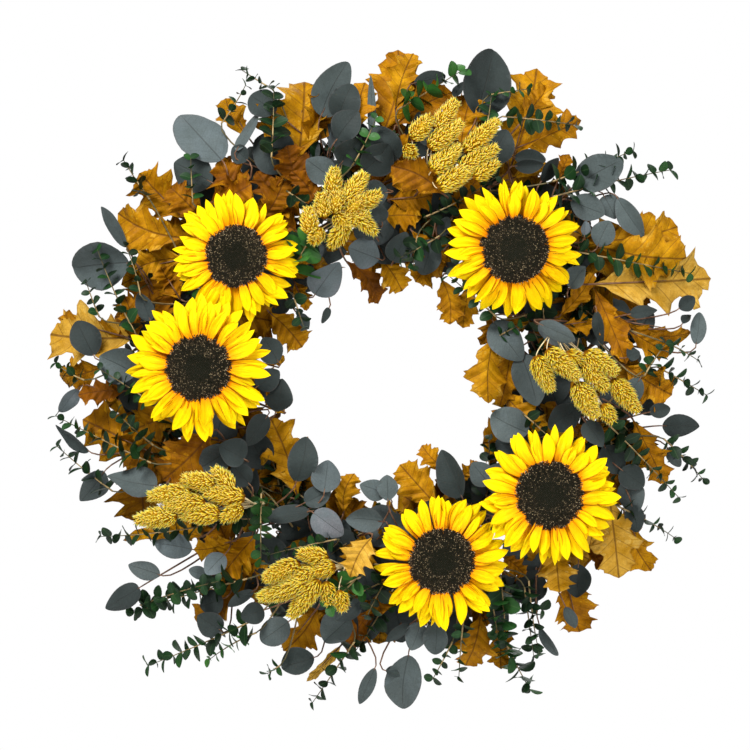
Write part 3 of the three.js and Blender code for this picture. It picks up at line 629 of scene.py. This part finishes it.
def petal_material():
    g = Graph("sunflower_petal")
    u, v, edge = g.attribute("leaf")
    hue, shade, under = g.attribute("tone")
    fine = g.noise(1.0, 3, g.place(u * 1.6, v * 9.0, hue * 40.0))
    soft = g.noise(1.0, 2, g.place(u * 3.0, v * 2.5, hue * 55.0))
    base = g.ramp(u + (fine - 0.5) * 0.22, [
        (0.0, (0.40, 0.05, 0.0)), (0.16, (0.92, 0.26, 0.0)), (0.40, (1.0, 0.50, 0.0)),
        (0.70, (1.0, 0.62, 0.0)), (1.0, (1.0, 0.67, 0.002))])
    streak = g.step(fine, 0.50, 0.64) * g.step(u, 0.2, 0.85, 0.85, 0.16)
    colour = g.mix(streak, base, (0.90, 0.36, 0.002))
    # Darker petal edges, strongest towards the foot: painted shade for the gaps between petals.
    rim = g.step(edge, 0.78, 1.0) * g.step(u, 0.35, 0.95, 1.0, 0.3)
    colour = g.mix(rim, colour, (0.17, 0.045, 0.0))
    colour = g.mix(under * 0.5, colour, (0.92, 0.56, 0.02))
    colour = g.shaded(colour, shade * g.step(soft, 0.25, 0.75, 0.93, 1.05))
    g.bump(fine + soft * 0.4, 0.8, 0.8)
    return g.finish(colour, g.step(soft, 0.2, 0.8, 0.5, 0.68), 0.05,
                    Subsurface_Weight=0.15, Subsurface_Scale=0.002)


def disc_material():
    g = Graph("sunflower_disc")
    u, _, _ = g.attribute("leaf")
    hue, shade, _ = g.attribute("tone")
    grain = g.noise(1500, 3)
    base = g.ramp(hue, [
        (0.0, (0.008, 0.012, 0.004)), (0.3, (0.018, 0.014, 0.008)),
        (0.55, (0.036, 0.024, 0.014)), (0.8, (0.08, 0.055, 0.035)), (1.0, (0.30, 0.22, 0.14))])
    tip = g.ramp(shade, [
        (0.0, (0.010, 0.012, 0.005)), (0.4, (0.034, 0.023, 0.012)),
        (0.7, (0.19, 0.135, 0.072)), (1.0, (0.46, 0.36, 0.21))])
    tipped = g.mix(g.step(u, 0.62, 0.95, 0.0, 0.95), base, tip)
    colour = g.shaded(tipped, g.step(grain, 0.3, 0.7, 0.7, 1.3))
    g.bump(grain, 0.6, 0.3)
    return g.finish(colour, g.step(grain, 0.3, 0.7, 0.6, 0.85), 0.15)


def stem_material(name, dark, light, roughness=0.6, tip_share=0.0):
    g = Graph(name)
    u, v, _ = g.attribute("leaf")
    blotch = g.noise(130, 4)
    fibre = g.noise(1.0, 3, g.place(u * 6.0, v * 14.0, blotch))
    colour = g.mix(g.step(blotch, 0.3, 0.7), dark, light)
    colour = g.mix(g.step(fibre, 0.5, 0.75, 0.0, 0.5), colour, dark)
    colour = g.mix(g.step(u, 0.35, 0.85, 0.0, tip_share), colour, (0.03, 0.035, 0.012))
    g.bump(fibre + blotch, 0.6, 0.3)
    return g.finish(colour, g.step(fibre, 0.3, 0.7, roughness - 0.1, roughness + 0.12), 0.3)


def calyx_material():
    g = Graph("sunflower_calyx")
    u, _, _ = g.attribute("leaf")
    hairs = g.noise(1600, 3)
    base = g.mix(g.step(g.noise(110, 4), 0.3, 0.7), (0.05, 0.11, 0.022), (0.13, 0.20, 0.045))
    colour = g.mix(g.step(u, 0.75, 1.0, 0.0, 0.5), base, (0.16, 0.12, 0.035))
    colour = g.mix(g.step(hairs, 0.56, 0.72, 0.0, 0.4), colour, (0.34, 0.40, 0.20))
    g.bump(hairs, 0.5, 0.4)
    return g.finish(colour, g.step(hairs, 0.3, 0.7, 0.6, 0.85), Sheen_Weight=0.15)


def wire_material(name, colour, wear, metal, roughness):
    g = Graph(name)
    blotch = g.noise(160, 4)
    scratch = g.noise(1800, 3)
    base = g.mix(g.step(blotch, 0.58, 0.72) * 0.7, colour, wear)
    g.bump(scratch + blotch * 1.5, 0.35, 0.15)
    return g.finish(base, g.step(scratch, 0.3, 0.7, roughness - 0.1, roughness + 0.15),
                    Metallic=metal)


LOOK = {
    "oak": oak_material(),
    "eucalyptus": eucalyptus_material(),
    "green": green_material(),
    "seed": seed_material(),
    "petal": petal_material(),
    "disc": disc_material(),
    "calyx": calyx_material(),
    "twig": stem_material("brown_stem", (0.075, 0.030, 0.014), (0.21, 0.105, 0.055)),
    "pale_stem": stem_material("pale_stem", (0.17, 0.11, 0.04), (0.42, 0.30, 0.13), tip_share=0.85),
    "straw": stem_material("straw_stem", (0.50, 0.36, 0.15), (0.82, 0.70, 0.42), 0.7),
    "flower_stem": stem_material("flower_stem", (0.05, 0.09, 0.02), (0.15, 0.21, 0.06), 0.7),
    "frame": wire_material("frame_wire", (0.016, 0.050, 0.022), (0.09, 0.07, 0.05), 0.35, 0.4),
    "binding": wire_material("binding_wire", (0.022, 0.085, 0.030), (0.12, 0.12, 0.10), 0.4, 0.38),
    "loop": wire_material("loop_wire", (0.42, 0.43, 0.44), (0.26, 0.25, 0.24), 1.0, 0.32),
}


# ---- outlines
# Half widths of two oak leaves along their length
OAK_SIDE = [
    (0.0, 0.03), (0.06, 0.09), (0.12, 0.2), (0.19, 0.37), (0.25, 0.52), (0.3, 0.63), (0.33, 0.68),
    (0.35, 0.58), (0.39, 0.56), (0.44, 0.7), (0.49, 0.88), (0.53, 1.0), (0.55, 0.9), (0.59, 0.93),
    (0.615, 0.8), (0.64, 0.62), (0.68, 0.53), (0.72, 0.58), (0.765, 0.71), (0.8, 0.78),
    (0.82, 0.64), (0.85, 0.5), (0.88, 0.46), (0.905, 0.48), (0.925, 0.32), (0.96, 0.17), (1.0, 0.0),
]
OAK_LOBED_SIDE = [
    (0.0, 0.03), (0.07, 0.1), (0.14, 0.26), (0.21, 0.46), (0.27, 0.66), (0.31, 0.8), (0.335, 0.66),
    (0.37, 0.55), (0.41, 0.52), (0.45, 0.6), (0.5, 0.84), (0.545, 1.06), (0.565, 0.94),
    (0.59, 0.82), (0.62, 0.62), (0.66, 0.5), (0.7, 0.49), (0.74, 0.58), (0.785, 0.74), (0.81, 0.82),
    (0.835, 0.62), (0.865, 0.44), (0.89, 0.38), (0.915, 0.34), (0.94, 0.24), (0.97, 0.11),
    (1.0, 0.0),
]
PETAL_SIDE = [
    (0, 0.34), (0.12, 0.52), (0.35, 0.86), (0.55, 1.0), (0.75, 0.86), (0.89, 0.52), (0.96, 0.22),
    (1.0, 0.0),
]
LOBED_SHARE = 0.55


def oak_outline(rng):
    """The leaf's rows, and its half widths to the left and right of the midrib."""
    profile = OAK_LOBED_SIDE if rng.random() < LOBED_SHARE else OAK_SIDE
    u, w = np.array(profile).T
    shift = u + 0.012 * rng.standard_normal(len(u)) * (u > 0.05) * (u < 0.96)
    sides = []
    for _ in range(2):
        uneven = 1 + 0.055 * rng.standard_normal(len(w)) * (w > 0.3)
        sides.append(np.clip(w * uneven * rng.uniform(0.88, 1.08), 0, 1.15))
    return np.sort(shift), *sides


def smooth_oak_outline(rng):
    """A small oak leaf's outline, with shallower lobes."""
    u, left, right = oak_outline(rng)
    soft = np.sin(math.pi * np.clip(u, 0, 1) ** 0.9) ** 0.7
    return u, 0.45 * left + 0.55 * soft, 0.45 * right + 0.55 * soft


def ovate_outline(rng, rows, fullness, peak):
    u = (1 - np.cos(np.linspace(0, math.pi, rows))) / 2
    w = np.sin(math.pi * u ** peak) ** fullness
    return u, w * rng.uniform(0.92, 1.08), w * rng.uniform(0.92, 1.08)


def petal_outline(rng, rows=15):
    u = np.linspace(0, 1, rows)
    body = np.interp(u, *np.array(PETAL_SIDE).T)
    skew = rng.normal(0, 0.06)
    return u, body * (1 + skew), body * (1 - skew)


# ---- foliage
def spray_index(kind, x, z):
    """Which spray a leaf belongs to: the one whose sector of the ring it lies in."""
    sector = 360 / kind["count"]
    return int(((angle_of(x, z) - kind["turn"] + sector / 2) % 360) // sector)


def leaf_stem(builder, hub, foot, way, radius):
    """A stem that leaves the frame forwards and runs into the foot of a leaf."""
    gap = np.linalg.norm(foot - hub)
    path = hermite(hub, np.array([0, -0.6 * gap, 0]), foot, way * gap * 0.45, 9)
    builder.tube(path, np.linspace(radius, radius * 0.55, 9), 5, slot=1)


def place_leaf(kind, row, level, rng):
    """A leaf's foot, tip, width and colour. What its row leaves out is drawn at random."""
    x0, z0, x1, z1, width = row[:5]
    hue = row[5] if len(row) > 5 else rng.uniform(*kind["hues"])
    if len(row) > 6:
        level = row[6]
    elif level is None:
        level = kind["level"] + kind["level_spread"] * rng.uniform(-1, 1)
    foot = np.array([x0, surface_y(x0, z0, level * kind["foot_share"]), z0])
    tip = np.array([x1, surface_y(x1, z1, level) + rng.uniform(*kind["tip_y"]), z1])
    return foot, tip, width, hue


def oak_leaf(builder, hub, row, rng, level, shade):
    foot, tip, width, hue = place_leaf(OAK, row, level, rng)
    length = math.hypot(tip[0] - foot[0], tip[2] - foot[2])
    slim = width < NARROW_OAK * length
    roll = float(np.clip(rng.normal(0, 0.5 if slim else 0.22), -0.55, 0.55))
    outline = oak_outline(rng) if width > SMALL_OAK else smooth_oak_outline(rng)
    builder.blade(
        foot, tip, OAK_FULLNESS * width / 2 / math.cos(roll), outline,
        bow=rng.normal(0.06, 0.08), fold=rng.uniform(0.12, 0.38), cup=rng.uniform(-0.30, 0.10),
        curl=rng.normal(0, 0.10), twist=(roll, rng.normal(0, 0.25)),
        wave=(0.28, rng.uniform(1.6, 2.6), rng.uniform(0, 6)),
        ridge=(0.07, rng.uniform(3, 5), rng.uniform(0, 6)), sweep=0.20,
        bend=rng.normal(0, 0.05), tone=(hue, shade * rng.uniform(0.9, 1.1)))
    way = unit(tip - foot)
    rib = [foot - way, foot + way * length * 0.3, foot + way * length * 0.62]
    builder.tube(rib, [0.9, 0.65, 0.3], 5, slot=1)
    leaf_stem(builder, hub, foot, way, 1.5)


def eucalyptus_leaf(builder, hub, row, rng, level, shade):
    foot, tip, width, hue = place_leaf(EUCALYPTUS, row, level, rng)
    length = math.hypot(tip[0] - foot[0], tip[2] - foot[2])
    slim = width < NARROW_EUCALYPTUS * length
    roll = float(np.clip(rng.normal(0, 0.55 if slim else 0.2), -0.85, 0.85))
    fullness, peak = rng.uniform(0.54, 0.72), rng.uniform(0.70, 1.02)
    way = unit(tip - foot)
    stalk_end = foot + way * 3
    builder.blade(
        stalk_end, tip, width / 2 / math.cos(roll), ovate_outline(rng, 15, fullness, peak),
        bow=rng.normal(0.06, 0.06), fold=rng.uniform(0.06, 0.26), cup=rng.normal(0, 0.16),
        curl=rng.normal(0, 0.05), twist=(roll, rng.normal(0, 0.3)),
        wave=(0.06, rng.uniform(1, 2), rng.uniform(0, 6)), bend=rng.normal(0, 0.018),
        tone=(hue, shade * rng.uniform(0.86, 1.10)))
    builder.tube([foot, stalk_end, foot + way * length * 0.2], [0.6, 0.55, 0.3], 5, slot=1)
    leaf_stem(builder, hub, foot, way, 1.2)


def sprig(builder, hub, row, rng, level, shade):
    """A thin stem with pairs of small leaves, each pair turned across the last."""
    foot, tip, width, hue = place_leaf(GREEN, row, level, rng)
    length = np.linalg.norm(tip - foot)
    way = unit(tip - foot)
    normal = unit(FRONT - way * np.dot(FRONT, way))
    across = np.cross(normal, way)
    lean = across * length * rng.normal(0, 0.08)
    path = hermite(foot, way * length + lean, tip, way * length - lean, 14)
    builder.tube(path, np.linspace(0.9, 0.35, 14), 5, slot=1)
    leaf_stem(builder, hub, foot, unit(path[1] - path[0]), 1.2)
    pairs = max(3, int(length / SPRIG_STEPS["spacing"]))
    start = rng.uniform(0, 0.3 * math.pi)
    for k in range(pairs + 1):
        share = (k + 0.5) / (pairs + 0.6)
        spot = share * (len(path) - 1)
        i = min(int(spot), len(path) - 2)
        base = path[i] + (path[i + 1] - path[i]) * (spot - i)
        forward = unit(path[i + 1] - path[i])
        size = SPRIG_STEPS["leaf"] * width * (1.05 - 0.45 * share)
        size = max(SPRIG_STEPS["smallest"], size)
        turn = rng.normal(start + (k % 2) * math.pi / 2, 0.25)
        for side in (-1, 1):
            out = unit(math.cos(turn) * across + math.sin(turn) * normal) * side
            aim = unit(out + forward * rng.uniform(0.18, 0.53))
            openness = 1.4 if rng.random() < SPRIG_OPEN_SHARE else 0.35
            facing = unit(openness * normal + 0.7 * forward + rng.normal(0, 0.25, 3))
            long = size * rng.uniform(0.85, 1.20)
            builder.blade(
                base, base + aim * long, long * rng.uniform(0.34, 0.45),
                ovate_outline(rng, 8, 0.56, 0.92), facing=facing, columns=(-1, -0.5, 0, 0.5, 1),
                fold=0.16, bow=0.05, curl=-0.05, thickness=0.3,
                tone=(rng.normal(hue, 0.15), shade * rng.uniform(0.8, 1.2)))


def fillers(rng, count, length, width, radii):
    """Leaves deep in the foliage, behind the ones that show."""
    made = []
    for k in range(count):
        degrees = 360 * (k + rng.random()) / count
        radius = rng.uniform(*radii)
        x, z = on_ring(radius, degrees)
        heading = rng.normal(degrees + (0 if radius > RING_RADIUS else 180), 65)
        dx, dz = on_ring(length * rng.uniform(0.8, 1.2), heading)
        if FILLED_RING[0] < math.hypot(x + dx, z + dz) < FILLED_RING[1]:
            made.append([x, z, x + dx, z + dz, width * rng.uniform(0.8, 1.2)])
    return made


def collar(rng, count, radius, outward, length, width, hues):
    """Small leaves close to a back ring, which cover the wire at the wreath's sides."""
    made = []
    for k in range(count):
        degrees = 360 * (k + 0.8 * rng.random()) / count
        if outward and abs(degrees - 90) < LOOP_CLEAR_ANGLE:
            continue
        x, z = on_ring(radius + rng.uniform(-4, 4), degrees)
        size = length * rng.uniform(0.8, 1.2)
        dx, dz = on_ring(size, rng.normal(degrees + (0 if outward else 180), 34))
        hue = rng.uniform(*hues)
        wide = width * rng.uniform(0.8, 1.2)
        made.append([x, z, x + dx, z + dz, wide, hue, rng.uniform(*COLLAR_LEVELS)])
    return made


def grow(kind, name, rows, hidden, make, looks, slot, seed):
    """Makes each spray of a kind from the leaves in its sector, the hidden ones last."""
    rng = np.random.default_rng(seed)
    builders = [Builder() for _ in range(kind["count"])]
    # The hidden rows take the lower brightness: painted shade deep in the foliage.
    for listed, deep, shade in ((rows, False, FRONT_SHADE), (hidden, True, DEEP_PAINTED_SHADE)):
        for row in listed:
            index = spray_index(kind, (row[0] + row[2]) / 2, (row[1] + row[3]) / 2)
            level = kind["level"] * rng.uniform(*DEEP_LEVELS) if deep else None
            x, z = on_ring(kind["lane"], kind["turn"] + index * 360 / kind["count"])
            hub = np.array([x, -2, z]) + np.array([4, 0, 4]) * rng.standard_normal(3)
            make(builders[index], hub, row, rng, level, shade)
    for index, builder in enumerate(builders, 1):
        builder.build(f"{name}_{index}_leaves", looks, f"{name}_{index}", slot)


# The filler and collar rows are the hidden leaves, which grow paints darker as painted shade.
filler_rng = np.random.default_rng(41)
oak_fill = fillers(filler_rng, 170, 60, 46, (124, 234))
eucalyptus_fill = fillers(filler_rng, 130, 44, 36, (126, 232))
green_fill = fillers(filler_rng, 84, 58, 22, (124, 232))
oak_fill += collar(filler_rng, 34, 204, True, 36, 30, (0.3, 0.62))
oak_fill += collar(filler_rng, 18, 150, False, 26, 24, (0.3, 0.6))
eucalyptus_fill += collar(filler_rng, 40, 206, True, 32, 24, (0.1, 0.6))
eucalyptus_fill += collar(filler_rng, 22, 150, False, 24, 18, (0.1, 0.5))
grow(OAK, "oak_spray", OAK_LEAVES, oak_fill, oak_leaf, ("oak", "twig"), "oak_leaf", 3)
grow(EUCALYPTUS, "eucalyptus_spray", EUCALYPTUS_LEAVES, eucalyptus_fill, eucalyptus_leaf,
     ("eucalyptus", "twig"), "eucalyptus_leaf", 5)
grow(GREEN, "green_sprig", SPRIGS, green_fill, sprig, ("green", "pale_stem"), "green_leaf", 7)


# ---- seed heads
def head_girth(width, t):
    """A seed head's radius from its foot, at 0, to its pointed tip, at 1."""
    bulge = math.sin(math.pi * min(1.0, 0.06 + 0.92 * t) ** 0.72) ** 0.8
    return width * 0.45 * bulge * (1 - 0.18 * t)


def seed_head(builder, foot, tip, width, rng):
    """An oval spike covered with overlapping pointed bracts."""
    length = np.linalg.norm(tip - foot)
    way = unit(tip - foot)
    u_axis = unit(np.cross(way, [0.3, 0.9, 0.2]))
    v_axis = np.cross(way, u_axis)
    shares = np.arange(9) / 8
    core = [foot + way * length * t * 0.94 for t in shares]
    radii = [max(0.3, head_girth(width, t) * 0.86) for t in shares]
    builder.tube(core, radii, 8, tone=(0.2, 0.9, 0), slot=0)
    count = int(length * width / BRACT_AREA)
    pale = rng.random()
    faces = [(1, 3, 0), (3, 2, 0), (4, 3, 1), (4, 2, 3), (2, 1, 0), (2, 4, 1)]
    leaf = [(0.0, 0, 0), (0.42, -1, 1), (0.42, 1, 1), (0.55, 0, 0), (1.0, 0, 0)]
    for k in range(count):
        along = ((k + 0.5) / count) ** 0.92
        angle = k * GOLDEN_ANGLE
        out = math.cos(angle) * u_axis + math.sin(angle) * v_axis
        side = np.cross(way, out)
        base = foot + way * (length * 0.90 * along) + out * head_girth(width, along) * 0.78
        size = rng.uniform(5.8, 8.4) - along
        wide = side * rng.uniform(0.72, 1.05) * (1 - 0.25 * along)
        flare = rng.uniform(0.55, 1.30)
        aim = unit(way + out * flare + side * rng.normal(0, 0.22))
        middle = base + aim * size * 0.42
        keel = base + aim * size * 0.45 + out * 0.9
        bract = [base - out * 0.4, middle + wide, middle - wide, keel, base + aim * size]
        tone = (0.55 * pale + 0.45 * rng.random(), rng.uniform(0.78, 1.0), 0)
        builder.add(bract, faces, leaf, tone)


def seed_bunch(number, tie_x, tie_z, lane, heads, rng):
    """Seed heads whose stems meet at a tied knot and run back to the frame."""
    builder = Builder()
    foot_x, foot_z = on_ring(lane, angle_of(tie_x, tie_z))
    knot = np.array([tie_x, KNOT_Y, tie_z])
    for x0, z0, x1, z1, width in heads:
        tilt = rng.uniform(-6, 6)
        foot = np.array([x0, HEAD_Y + rng.uniform(0, 5) - tilt * 0.4, z0])
        tip = np.array([x1, HEAD_Y - 3 + tilt, z1])
        way = unit(tip - foot)
        seed_head(builder, foot, tip, width, rng)
        gap = np.linalg.norm(foot - knot)
        apart = np.array([2.2, 0, 2.2]) * rng.standard_normal(3)
        root = np.array([foot_x, -2, foot_z]) + apart
        tied = knot + rng.normal(0, 1.1, 3)
        onward = unit(foot - tied)
        path = np.vstack([
            hermite(root, np.array([0, -70, 0]), tied, onward * 40, 9)[:-1],
            hermite(tied, onward * gap * 0.5, foot + way, way * gap * 0.5, 9)])
        builder.tube(path, np.linspace(0.75, 0.5, len(path)), 5, slot=1)
    winding = [knot + np.array([2.5 * math.cos(a), 0.7 * a - 3, 2.5 * math.sin(a)])
               for a in np.linspace(0, 6 * math.pi, 60)]
    builder.tube(winding, 0.45, 6, slot=2)
    node = f"seed_bunch_{number}"
    builder.build(node + "_heads", ("seed", "straw", "binding"), node, "seed_head")


seed_rng = np.random.default_rng(11)
for number, bunch in enumerate(SEED_BUNCHES, 1):
    seed_bunch(number, *bunch, seed_rng)


# ---- sunflowers
def petals(number, middle, reach, disc, rng):
    builder = Builder()
    lean_x, lean_z = rng.normal(0, 0.07, 2)
    for layer, (count, share, y, offset) in enumerate(PETAL_LAYERS):
        for k in range(count):
            degrees = rng.normal(360 * (k + offset) / count, 4.5)
            far = min(reach * share * rng.normal(0.985, 0.035), reach * 1.04)
            fx, fz = on_ring(disc * 0.80, degrees)
            tx, tz = on_ring(far, rng.normal(degrees, 4))
            droop = (4.0 if layer == 0 else 1.0) + rng.uniform(0, 5)
            foot = middle + np.array([fx, y, fz])
            tip = middle + np.array([tx, y + droop + lean_x * tx + lean_z * tz, tz])
            pinched = rng.random() < 0.2
            width = reach * rng.uniform(0.182, 0.232) * (0.72 if pinched else 1.0)
            builder.blade(
                foot, tip, width / 2, petal_outline(rng),
                columns=(-1, -0.8, -0.6, -0.35, -0.12, 0.12, 0.35, 0.6, 0.8, 1),
                bow=rng.normal(0.08, 0.03),
                fold=(0.45 if pinched else 0.08) * (1 if rng.random() > 0.3 else -1),
                cup=rng.normal(0, 0.14), curl=rng.normal(-0.05, 0.07),
                twist=(rng.normal(0, 0.22), rng.normal(0, 0.25)),
                wave=(0.12, rng.uniform(1, 2), rng.uniform(0, 6)),
                ridge=(0.14, rng.uniform(7.5, 8.5), rng.uniform(0, 6)),
                bend=rng.normal(0, 0.05), thickness=0.3,
                tone=(rng.random(), rng.uniform(0.88, 1.04)))
    builder.build(f"sunflower_{number}_rays", ("petal",), f"sunflower_{number}_petals",
                  "sunflower_petal")


def dome(disc, r):
    """How far the seed disc stands forward at a distance from its middle."""
    share = r / disc
    return 10.0 - 8.2 * share ** 2.6 + 2.2 * (1 - math.exp(-9 * share ** 2))


def florets(number, middle, disc, rng):
    """The seed disc: a dome covered with small florets in spirals."""
    builder = Builder()
    rows, sides = 12, 40
    points = []
    for i in range(rows):
        r = disc * i / (rows - 1)
        points += ring_path(max(r, 0.01), -dome(disc, r), sides, middle)
    points += ring_path(disc, -0.6, sides, middle)
    builder.add(points, loft_faces(rows + 1, sides, flip=True), (0, 0, 0), (0.15, 0.9, 0))
    corners = [2 * math.pi * m / 5 for m in range(5)]
    faces = loft_faces(3, 5, flip=True)
    for k in range(FLORETS):
        share = math.sqrt((k + 0.5) / FLORETS)
        r = disc * share
        a = k * GOLDEN_ANGLE
        slope = (dome(disc, r + 0.4) - dome(disc, max(r - 0.4, 0))) / 0.8
        out = np.array([math.cos(a), 0, math.sin(a)])
        axis = unit(FRONT - out * slope + rng.normal(0, 0.12, 3))
        side = unit(np.cross(axis, out + 0.001))
        up = np.cross(side, axis)
        wide = (0.43 + 0.33 * share) * rng.uniform(0.9, 1.1)
        tall = 1.0 + 1.3 * share ** 3 + rng.uniform(0, 0.7)
        outer = share > CORE
        hue = (0.10 if outer else 0.0) + rng.uniform(0, 0.25) + (0.2 if share > 0.8 else 0)
        light = rng.random() ** (1.9 if outer else 3.5) * (1 if outer else 0.6)
        foot = middle + dome(disc, r) * FRONT + r * out
        points, leaf = [], []
        for u, w in ((-0.15, 1.0), (0.6, 0.8), (1.0, 0.38)):
            for b in corners:
                around = math.cos(b) * side + math.sin(b) * up
                points.append(foot + axis * tall * u + wide * w * around)
                leaf.append((max(u, 0), 0, 0))
        builder.add(points, faces, leaf, (hue, light, 0))
    builder.build(f"sunflower_{number}_florets", ("disc",), f"sunflower_{number}_disc",
                  "sunflower_disc")


def calyx(number, middle, disc, rng):
    """The green cup and bracts behind the petals, and the stem down to the frame."""
    builder = Builder()
    profile = [(disc * 0.86, 0.4), (disc * 0.80, 2.2), (disc * 0.55, 4.4), (disc * 0.25, 6.8),
               (3.4, 10.0)]
    sides = 28
    points = []
    for radius, y in profile:
        points += ring_path(radius, y, sides, middle)
    builder.add(points, loft_faces(len(profile), sides, flip=True), (0.3, 0, 0), (0.5, 1, 0))
    for k in range(CALYX_BRACTS):
        degrees = 360 * (k + 0.4 * rng.random()) / CALYX_BRACTS
        ix, iz = on_ring(disc * (0.5 + 0.12 * (k % 2)), degrees)
        ox, oz = on_ring(disc * rng.uniform(1.12, 1.32), degrees)
        foot = middle + np.array([ix, 4.4, iz])
        tip = middle + np.array([ox, rng.uniform(3.0, 5.5), oz])
        builder.blade(foot, tip, 4.2, ovate_outline(rng, 9, 0.8, 0.7), facing=-FRONT,
                      columns=(-1, -0.5, 0, 0.5, 1), fold=-0.2, bow=0.12, thickness=0.4)
    hub_x, hub_z = on_ring(RING_RADIUS, angle_of(middle[0], middle[2]))
    root, forward = np.array([hub_x, -2, hub_z]), middle * np.array([0, 1, 0])
    path = hermite(root, forward, middle - 9 * FRONT, forward, 16)
    builder.tube(path, np.linspace(2.6, 3.6, 16), 9, slot=1)
    builder.build(f"sunflower_{number}_calyx", ("calyx", "flower_stem"),
                  f"sunflower_{number}_stem", "sunflower_calyx")


flower_rng = np.random.default_rng(23)
for number, (x, z, reach, disc, front) in enumerate(SUNFLOWERS, 1):
    middle = np.array([x, front, z])
    petals(number, middle, reach, disc, flower_rng)
    florets(number, middle, disc, flower_rng)
    calyx(number, middle, disc, flower_rng)


# ---- wire frame, binding, loop
def around_ring(points, degrees):
    """Turns a path of radius, y and sideways places to an angle on the ring."""
    c, s = on_ring(1, degrees)
    return [np.array([r * c - t * s, y, r * s + t * c]) for r, y, t in points]


wire_frame = Builder()
for radius, y in RINGS:
    wire_frame.tube(ring_path(radius, y, 120), RING_WIRE, 10, closed=True)
for degrees in BAR_ANGLES:
    path = around_ring(smooth_path([(r, y, 0) for r, y in BAR_PATH], 4), degrees)
    tangent_x, tangent_z = on_ring(1, degrees + 90)
    wire_frame.bar(path, np.array([tangent_x, 0, tangent_z]), BAR_HALF_WIDTH, BAR_HALF_THICKNESS)
wire_frame.build("wire_frame", ("frame",), "wreath_frame", "frame_wire")

for number, degrees in enumerate(BINDING_ANGLES, 1):
    binding = Builder()
    last = len(BINDING_PATH) - 1
    turn = [(r, y, BINDING_PITCH * (i / last - 0.5)) for i, (r, y) in enumerate(BINDING_PATH)]
    binding.tube(around_ring(smooth_path(turn, 6), degrees), BINDING_WIRE, 8)
    binding.build(f"binding_turn_{number}", ("binding",), f"binding_wire_{number}",
                  "binding_wire")

hanger = Builder()
circle = np.linspace(0, 2 * math.pi, 64, endpoint=False)
eye = [(EYE_RADIUS * math.sin(a), 0, EYE_Z + EYE_RADIUS * math.cos(a)) for a in circle]
eyelet = [(0, EYELET_RADIUS * math.sin(a), HINGE_Z + EYELET_RADIUS * math.cos(a)) for a in circle]
hanger.tube(eye, LOOP_WIRE, 12, closed=True)
hanger.tube(eyelet, LOOP_WIRE, 12, closed=True)
for phase in (0, math.pi):
    strand = [(NECK_STRAND * math.cos(t * NECK_TWIST + phase),
               NECK_STRAND * math.sin(t * NECK_TWIST + phase),
               NECK_TOP + (NECK_FOOT - NECK_TOP) * t) for t in np.linspace(-0.05, 1.05, 40)]
    hanger.tube(strand, NECK_STRAND, 8)
hanger.build("hanging_loop", ("loop",), "hanger_loop", "loop_wire", body="hanger",
             lift=-CENTRE_Z)


# ---- floor, light and camera
# Metres from here on
FLOOR_Z = -0.95
FLOOR_RADIUS = 1.6
AIM = Vector((0, -0.05, -0.23))
WORLD_LIGHT, WORLD_SEEN = 0.5, 1.0
CAMERA_DISTANCE = 6.0
CAMERA_X, CAMERA_Z = -0.009, -0.2266
VIEW_WIDTH = 0.688
SENSOR_WIDTH = 36
PLANE_Y = -0.07

floor_mesh = bpy.data.meshes.new("floor")
floor_steps = 64
rim = [on_ring(FLOOR_RADIUS, 360 * k / floor_steps) for k in range(floor_steps)]
floor_mesh.from_pydata([(x, y, FLOOR_Z) for x, y in rim], [], [tuple(range(floor_steps))])
floor = new_object("floor", floor_mesh)
floor_mesh.materials.append(Graph("pale_floor").finish((0.86, 0.86, 0.85), 0.85))


def soft_light(name, place, size, power):
    lamp = bpy.data.lights.new(name, "AREA")
    lamp.shape, lamp.size, lamp.energy = "DISK", size, power
    holder = new_object(name, lamp)
    holder.location = place
    holder.rotation_euler = (AIM - Vector(place)).to_track_quat("-Z", "Y").to_euler()


soft_light("key", (-0.9, -1.6, 1.3), 1.1, 80)
soft_light("fill", (1.5, -1.7, 0.1), 1.6, 30)
soft_light("rim", (0.3, 1.5, 0.9), 1.2, 12)

# The world is white to the camera, and lights the wreath at half that strength.
world = bpy.data.worlds.new("studio")
bpy.context.scene.world = world
world.use_nodes = True
tree = world.node_tree
background = tree.nodes["Background"]
seen = tree.nodes.new("ShaderNodeLightPath")
strength = tree.nodes.new("ShaderNodeMapRange")
strength.inputs["To Min"].default_value = WORLD_LIGHT
strength.inputs["To Max"].default_value = WORLD_SEEN
tree.links.new(seen.outputs["Is Camera Ray"], strength.inputs["Value"])
tree.links.new(strength.outputs[0], background.inputs["Strength"])
background.inputs["Color"].default_value = (1, 1, 1, 1)
bpy.context.scene.view_settings.view_transform = "Standard"

camera = bpy.data.cameras.new("camera")
camera.sensor_width = SENSOR_WIDTH
camera.lens = SENSOR_WIDTH * CAMERA_DISTANCE / VIEW_WIDTH
camera.clip_end = 50
holder = new_object("camera", camera)
holder.location = (CAMERA_X, PLANE_Y - CAMERA_DISTANCE, CAMERA_Z)
holder.rotation_euler = (math.pi / 2, 0, 0)
bpy.context.scene.camera = holder
